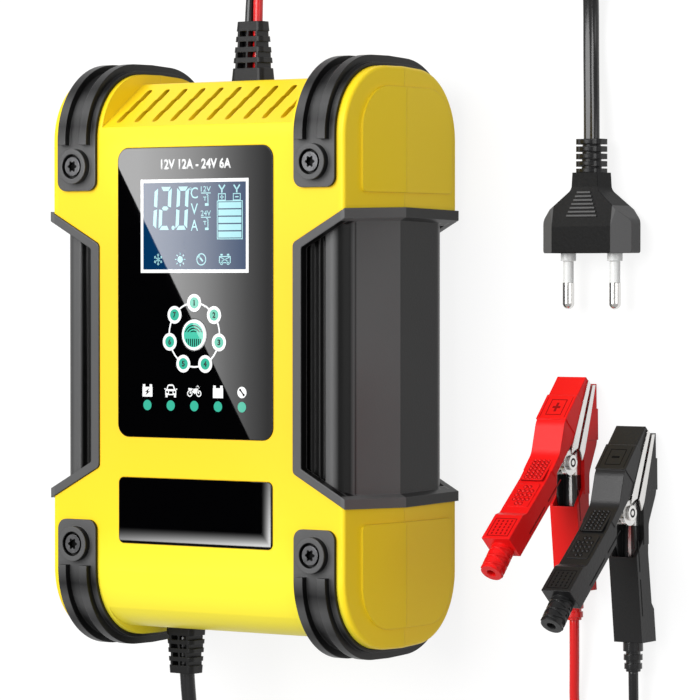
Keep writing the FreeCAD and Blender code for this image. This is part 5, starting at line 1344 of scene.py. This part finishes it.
def flat_outline(sides=8):
    """Two circles that run into each other, as points in a plane across the lead."""
    for way in (1, -1):
        for i in range(sides):
            angle = OPEN_ANGLE * (2 * i / sides - 1)
            yield Vector((way * (CORE_SPREAD + MAINS_THICK / 2 * math.cos(angle)),
                          way * MAINS_THICK / 2 * math.sin(angle), 0))


def flat_lead(name, spots):
    form = bmesh.new()
    ring = [form.verts.new(spot) for spot in flat_outline()]
    face = form.faces.new(ring)
    frames = []
    for i, spot in enumerate(spots):
        along = (spots[min(i + 1, len(spots) - 1)] - spots[max(i - 1, 0)]).normalized()
        across = along.cross(UPRIGHT).normalized()
        facing = Matrix((across, across.cross(along), along)).transposed()
        frames.append(Matrix.Translation(spot) @ facing.to_4x4())
    bmesh.ops.transform(form, matrix=frames[0], verts=ring)
    for before, after in zip(frames, frames[1:]):
        face = bmesh.ops.extrude_discrete_faces(form, faces=[face])["faces"][0]
        bmesh.ops.transform(form, matrix=after @ before.inverted(), verts=face.verts)
    return closed_piece(name, form)


mains_line = smooth_line(mains_route)
mains_lead = flat_lead("mains_flex", mains_line)

# %% [markdown]
# Each lead rides on the housing in its sheath, and the plain tube among the
# solids is hidden. For the battery leads, the line that each follows and the
# solids that go where it goes are gathered too.

# %% What the leads are
CLAMP_PARTS = ("lower_cover", "lower_jaw", "pivot_pin", "clamp_spring", "clamp_relief", "upper_cover",
               "upper_jaw")
for lead, name, route in ((red_lead, "red", red_route), (black_lead, "black", black_route)):
    line = smooth_line(route)
    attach(lead, "housing")
    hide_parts(f"{name}_lead")
    sheath[name].put_on(lead)
    held = [nodes[f"{name}_{part}"] for part in CLAMP_PARTS]
    if name == "red":
        held.append(nodes["lead_relief"])
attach(mains_lead, "housing")
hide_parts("mains_lead")
sheath["black"].put_on(mains_lead)

# %% [markdown]
# The studio is a white floor under a large soft lamp, with a weaker one from
# the right, and a pale world that fills the shadows. The floor's own colour
# is a mid grey, so that it throws little light back up. To the camera, and in
# mirrors and glass, it is mixed with a plain glow that brings it up to white
# and leaves a soft shadow under the charger.

# %% Floor and lamps
FLOOR_LEVEL, FLOOR_HALF = -0.1 * MM, 3.0
FLOOR_GLOW, GLOW_SHARE = 1.56, 0.55


def light_path(finish, *rays):
    """1 for rays of the named kinds, else 0."""
    seen = [finish.node("LightPath", output=ray) for ray in rays]
    total = seen[0]
    for ray in seen[1:]:
        total = total.larger(ray)
    return total


def stand(name, form):
    """A thing of the studio, which is no piece of the charger."""
    thing = make_piece(name, form)
    return thing


def studio_floor():
    form = bmesh.new()
    bmesh.ops.create_grid(form, x_segments=1, y_segments=1, size=FLOOR_HALF,
                          matrix=Matrix.Translation((0, 0, FLOOR_LEVEL)))
    paper = Finish("paper", Base_Color=colour(0.36, 0.36, 0.36), Roughness=0.9, Specular_IOR_Level=0.0)
    glow = paper.node("Emission", sockets={"Strength": FLOOR_GLOW})
    share = light_path(paper, "Is Camera Ray", "Is Glossy Ray", "Is Transmission Ray") * GLOW_SHARE
    mixed = paper.node("MixShader", sockets={0: share, 2: glow})
    paper.tree.links.new(paper.shader.outputs[0], mixed.output.node.inputs[1])
    paper.tree.links.new(mixed.output, paper.tree.nodes["Material Output"].inputs["Surface"])
    paper.put_on(stand("floor", form))


def area_lamp(name, spot, target, size, power):
    data = bpy.data.lights.new(name, "AREA")
    data.shape = "RECTANGLE"
    data.size, data.size_y = size
    data.energy = power
    lamp = bpy.data.objects.new(name, data)
    bpy.context.scene.collection.objects.link(lamp)
    lamp.location = spot
    lamp.rotation_euler = (Vector(target) - Vector(spot)).to_track_quat("-Z", "Y").to_euler()


studio_floor()
area_lamp("soft_top", (-0.35, 0.55, 1.6), (0, 0, 0), (1.3, 1.3), 32)
area_lamp("right_side", (1.5, 0.1, 0.7), (0, 0, 0.03), (0.5, 1.2), 3)
world = bpy.data.worlds.new("world")
bpy.context.scene.world = world
world.use_nodes = True
world.node_tree.nodes["Background"].inputs["Color"].default_value = colour(1, 1, 1)
world.node_tree.nodes["Background"].inputs["Strength"].default_value = 0.5

# %% [markdown]
# The polished face mirrors the studio above it: a large screen of light whose
# lower edge runs slantwise across the picture, and which fades to the right.
# A card does that. It hangs a little above the face, only mirrored rays see
# it, and its outline is worked out backwards: from each spot on the face to
# where the camera's line of sight goes after it is mirrored there.

# %% Cards that the face mirrors
CARD_RISE = 26 * MM


def mirrored(x, y):
    """Where on the card a spot of the face is mirrored for the camera."""
    spot = Vector((x, y, FACE_LEVEL)) * MM
    eye = camera.matrix_world.translation.copy()
    eye.z = 2 * spot.z - eye.z
    return spot + (spot - eye) * CARD_RISE / (spot.z - eye.z)


def mirror_card(name, outline, strength=None):
    """A card over the face, lit as strongly as its function says, for mirrored rays only."""
    form = bmesh.new()
    form.faces.new([form.verts.new(mirrored(x, y)) for x, y in outline])
    card = Finish(name)
    card.material.cycles.emission_sampling = "NONE"
    glow = card.node("Emission", sockets={"Strength": strength(card) if strength else 0.0})
    clear = card.node("BsdfTransparent")
    mixed = card.node("MixShader", sockets={0: light_path(card, "Is Glossy Ray"), 1: clear, 2: glow})
    card.tree.links.new(mixed.output, card.tree.nodes["Material Output"].inputs["Surface"])
    card.put_on(stand(name, form))


# %% [markdown]
# Over the display, a slanted edge parts a lit card from a dark one. The lit
# card fades to the right by a ramp, whose stops are given as places on the
# face.

# %% The slanted light of the display
SLANT_HIGH, SLANT_LOW = Vector((-31.9, 63.0)), Vector((24.6, -28.8))
CARD_LEFT, CARD_RIGHT, CARD_LOW, CARD_HIGH, LIT_FOOT = -36.0, 36.0, -38.0, 76.0, -35.0
CARD_STRENGTH = 11.0
CARD_FADE = [(-24.6, 0.9), (-9.5, 0.72), (4.3, 0.5), (14.2, 0.29), (22.9, 0.16), (31.5, 0.075)]


def across_card(card):
    """The strength of the display's light, which fades to the right."""
    low, high = mirrored(CARD_FADE[0][0], 0).x, mirrored(CARD_FADE[-1][0], 0).x
    stops = [((mirrored(x, 0).x - low) / (high - low), colour(strength, strength, strength))
             for x, strength in CARD_FADE]
    across = card.spread(card.place()[0], low, high, 0, 1)
    return card.node("ValToRGB", {"stops": stops}, {0: across}) * CARD_STRENGTH


def on_slant(y):
    share = (y - SLANT_HIGH.y) / (SLANT_LOW.y - SLANT_HIGH.y)
    return (SLANT_HIGH.x + (SLANT_LOW.x - SLANT_HIGH.x) * share, y)


def on_slant_at(x):
    share = (x - SLANT_HIGH.x) / (SLANT_LOW.x - SLANT_HIGH.x)
    return (x, SLANT_HIGH.y + (SLANT_LOW.y - SLANT_HIGH.y) * share)


mirror_card("lit_card", [on_slant_at(CARD_LEFT), on_slant(LIT_FOOT), (CARD_RIGHT, LIT_FOOT),
                         (CARD_RIGHT, CARD_HIGH), (CARD_LEFT, CARD_HIGH)], across_card)
mirror_card("dark_card", [on_slant_at(CARD_LEFT), (CARD_LEFT, CARD_LOW), (CARD_RIGHT, CARD_LOW),
                          (CARD_RIGHT, LIT_FOOT), on_slant(LIT_FOOT)])

# %% [markdown]
# A third card hangs over the name plate. It is lit along its lower edge and
# its right end.

# %% The light round the name plate
PLATE_LOW, PLATE_RIGHT, PLATE_STRENGTH = -65.0, 33.4, 16.0
PLATE_FOOT = PLATE_LOW - 3


def round_plate(card):
    """The strength of the plate's light, along its lower edge and its right end."""
    x, y, z = card.place()

    def rise(signal, start, end):
        share = card.spread(signal, start, end, 0, 1)
        return share * share

    low = rise(y, mirrored(0, PLATE_LOW + 5.6).y, mirrored(0, PLATE_LOW + 1.4).y)
    right = rise(x, mirrored(PLATE_RIGHT - 4.6, 0).x, mirrored(PLATE_RIGHT - 1.2, 0).x)
    low_fade = card.spread(x, mirrored(-PLATE_RIGHT, 0).x, mirrored(PLATE_RIGHT, 0).x, 0.35, 1)
    right_fade = card.spread(y, mirrored(0, PLATE_LOW + 22).y, mirrored(0, PLATE_LOW + 3).y, 0.35, 1)
    inside = (y > mirrored(0, PLATE_LOW + 0.9).y) * (x < mirrored(PLATE_RIGHT - 0.6, 0).x)
    return (low * low_fade).larger(right * right_fade) * inside * PLATE_STRENGTH


mirror_card("plate_card", [(CARD_LEFT, CARD_LOW), (CARD_LEFT, PLATE_FOOT), (CARD_RIGHT, PLATE_FOOT),
                           (CARD_RIGHT, CARD_LOW)], round_plate)

# %% [markdown]
# Last, the view layer is brought up to date.

# %% Last update
bpy.context.view_layer.update()
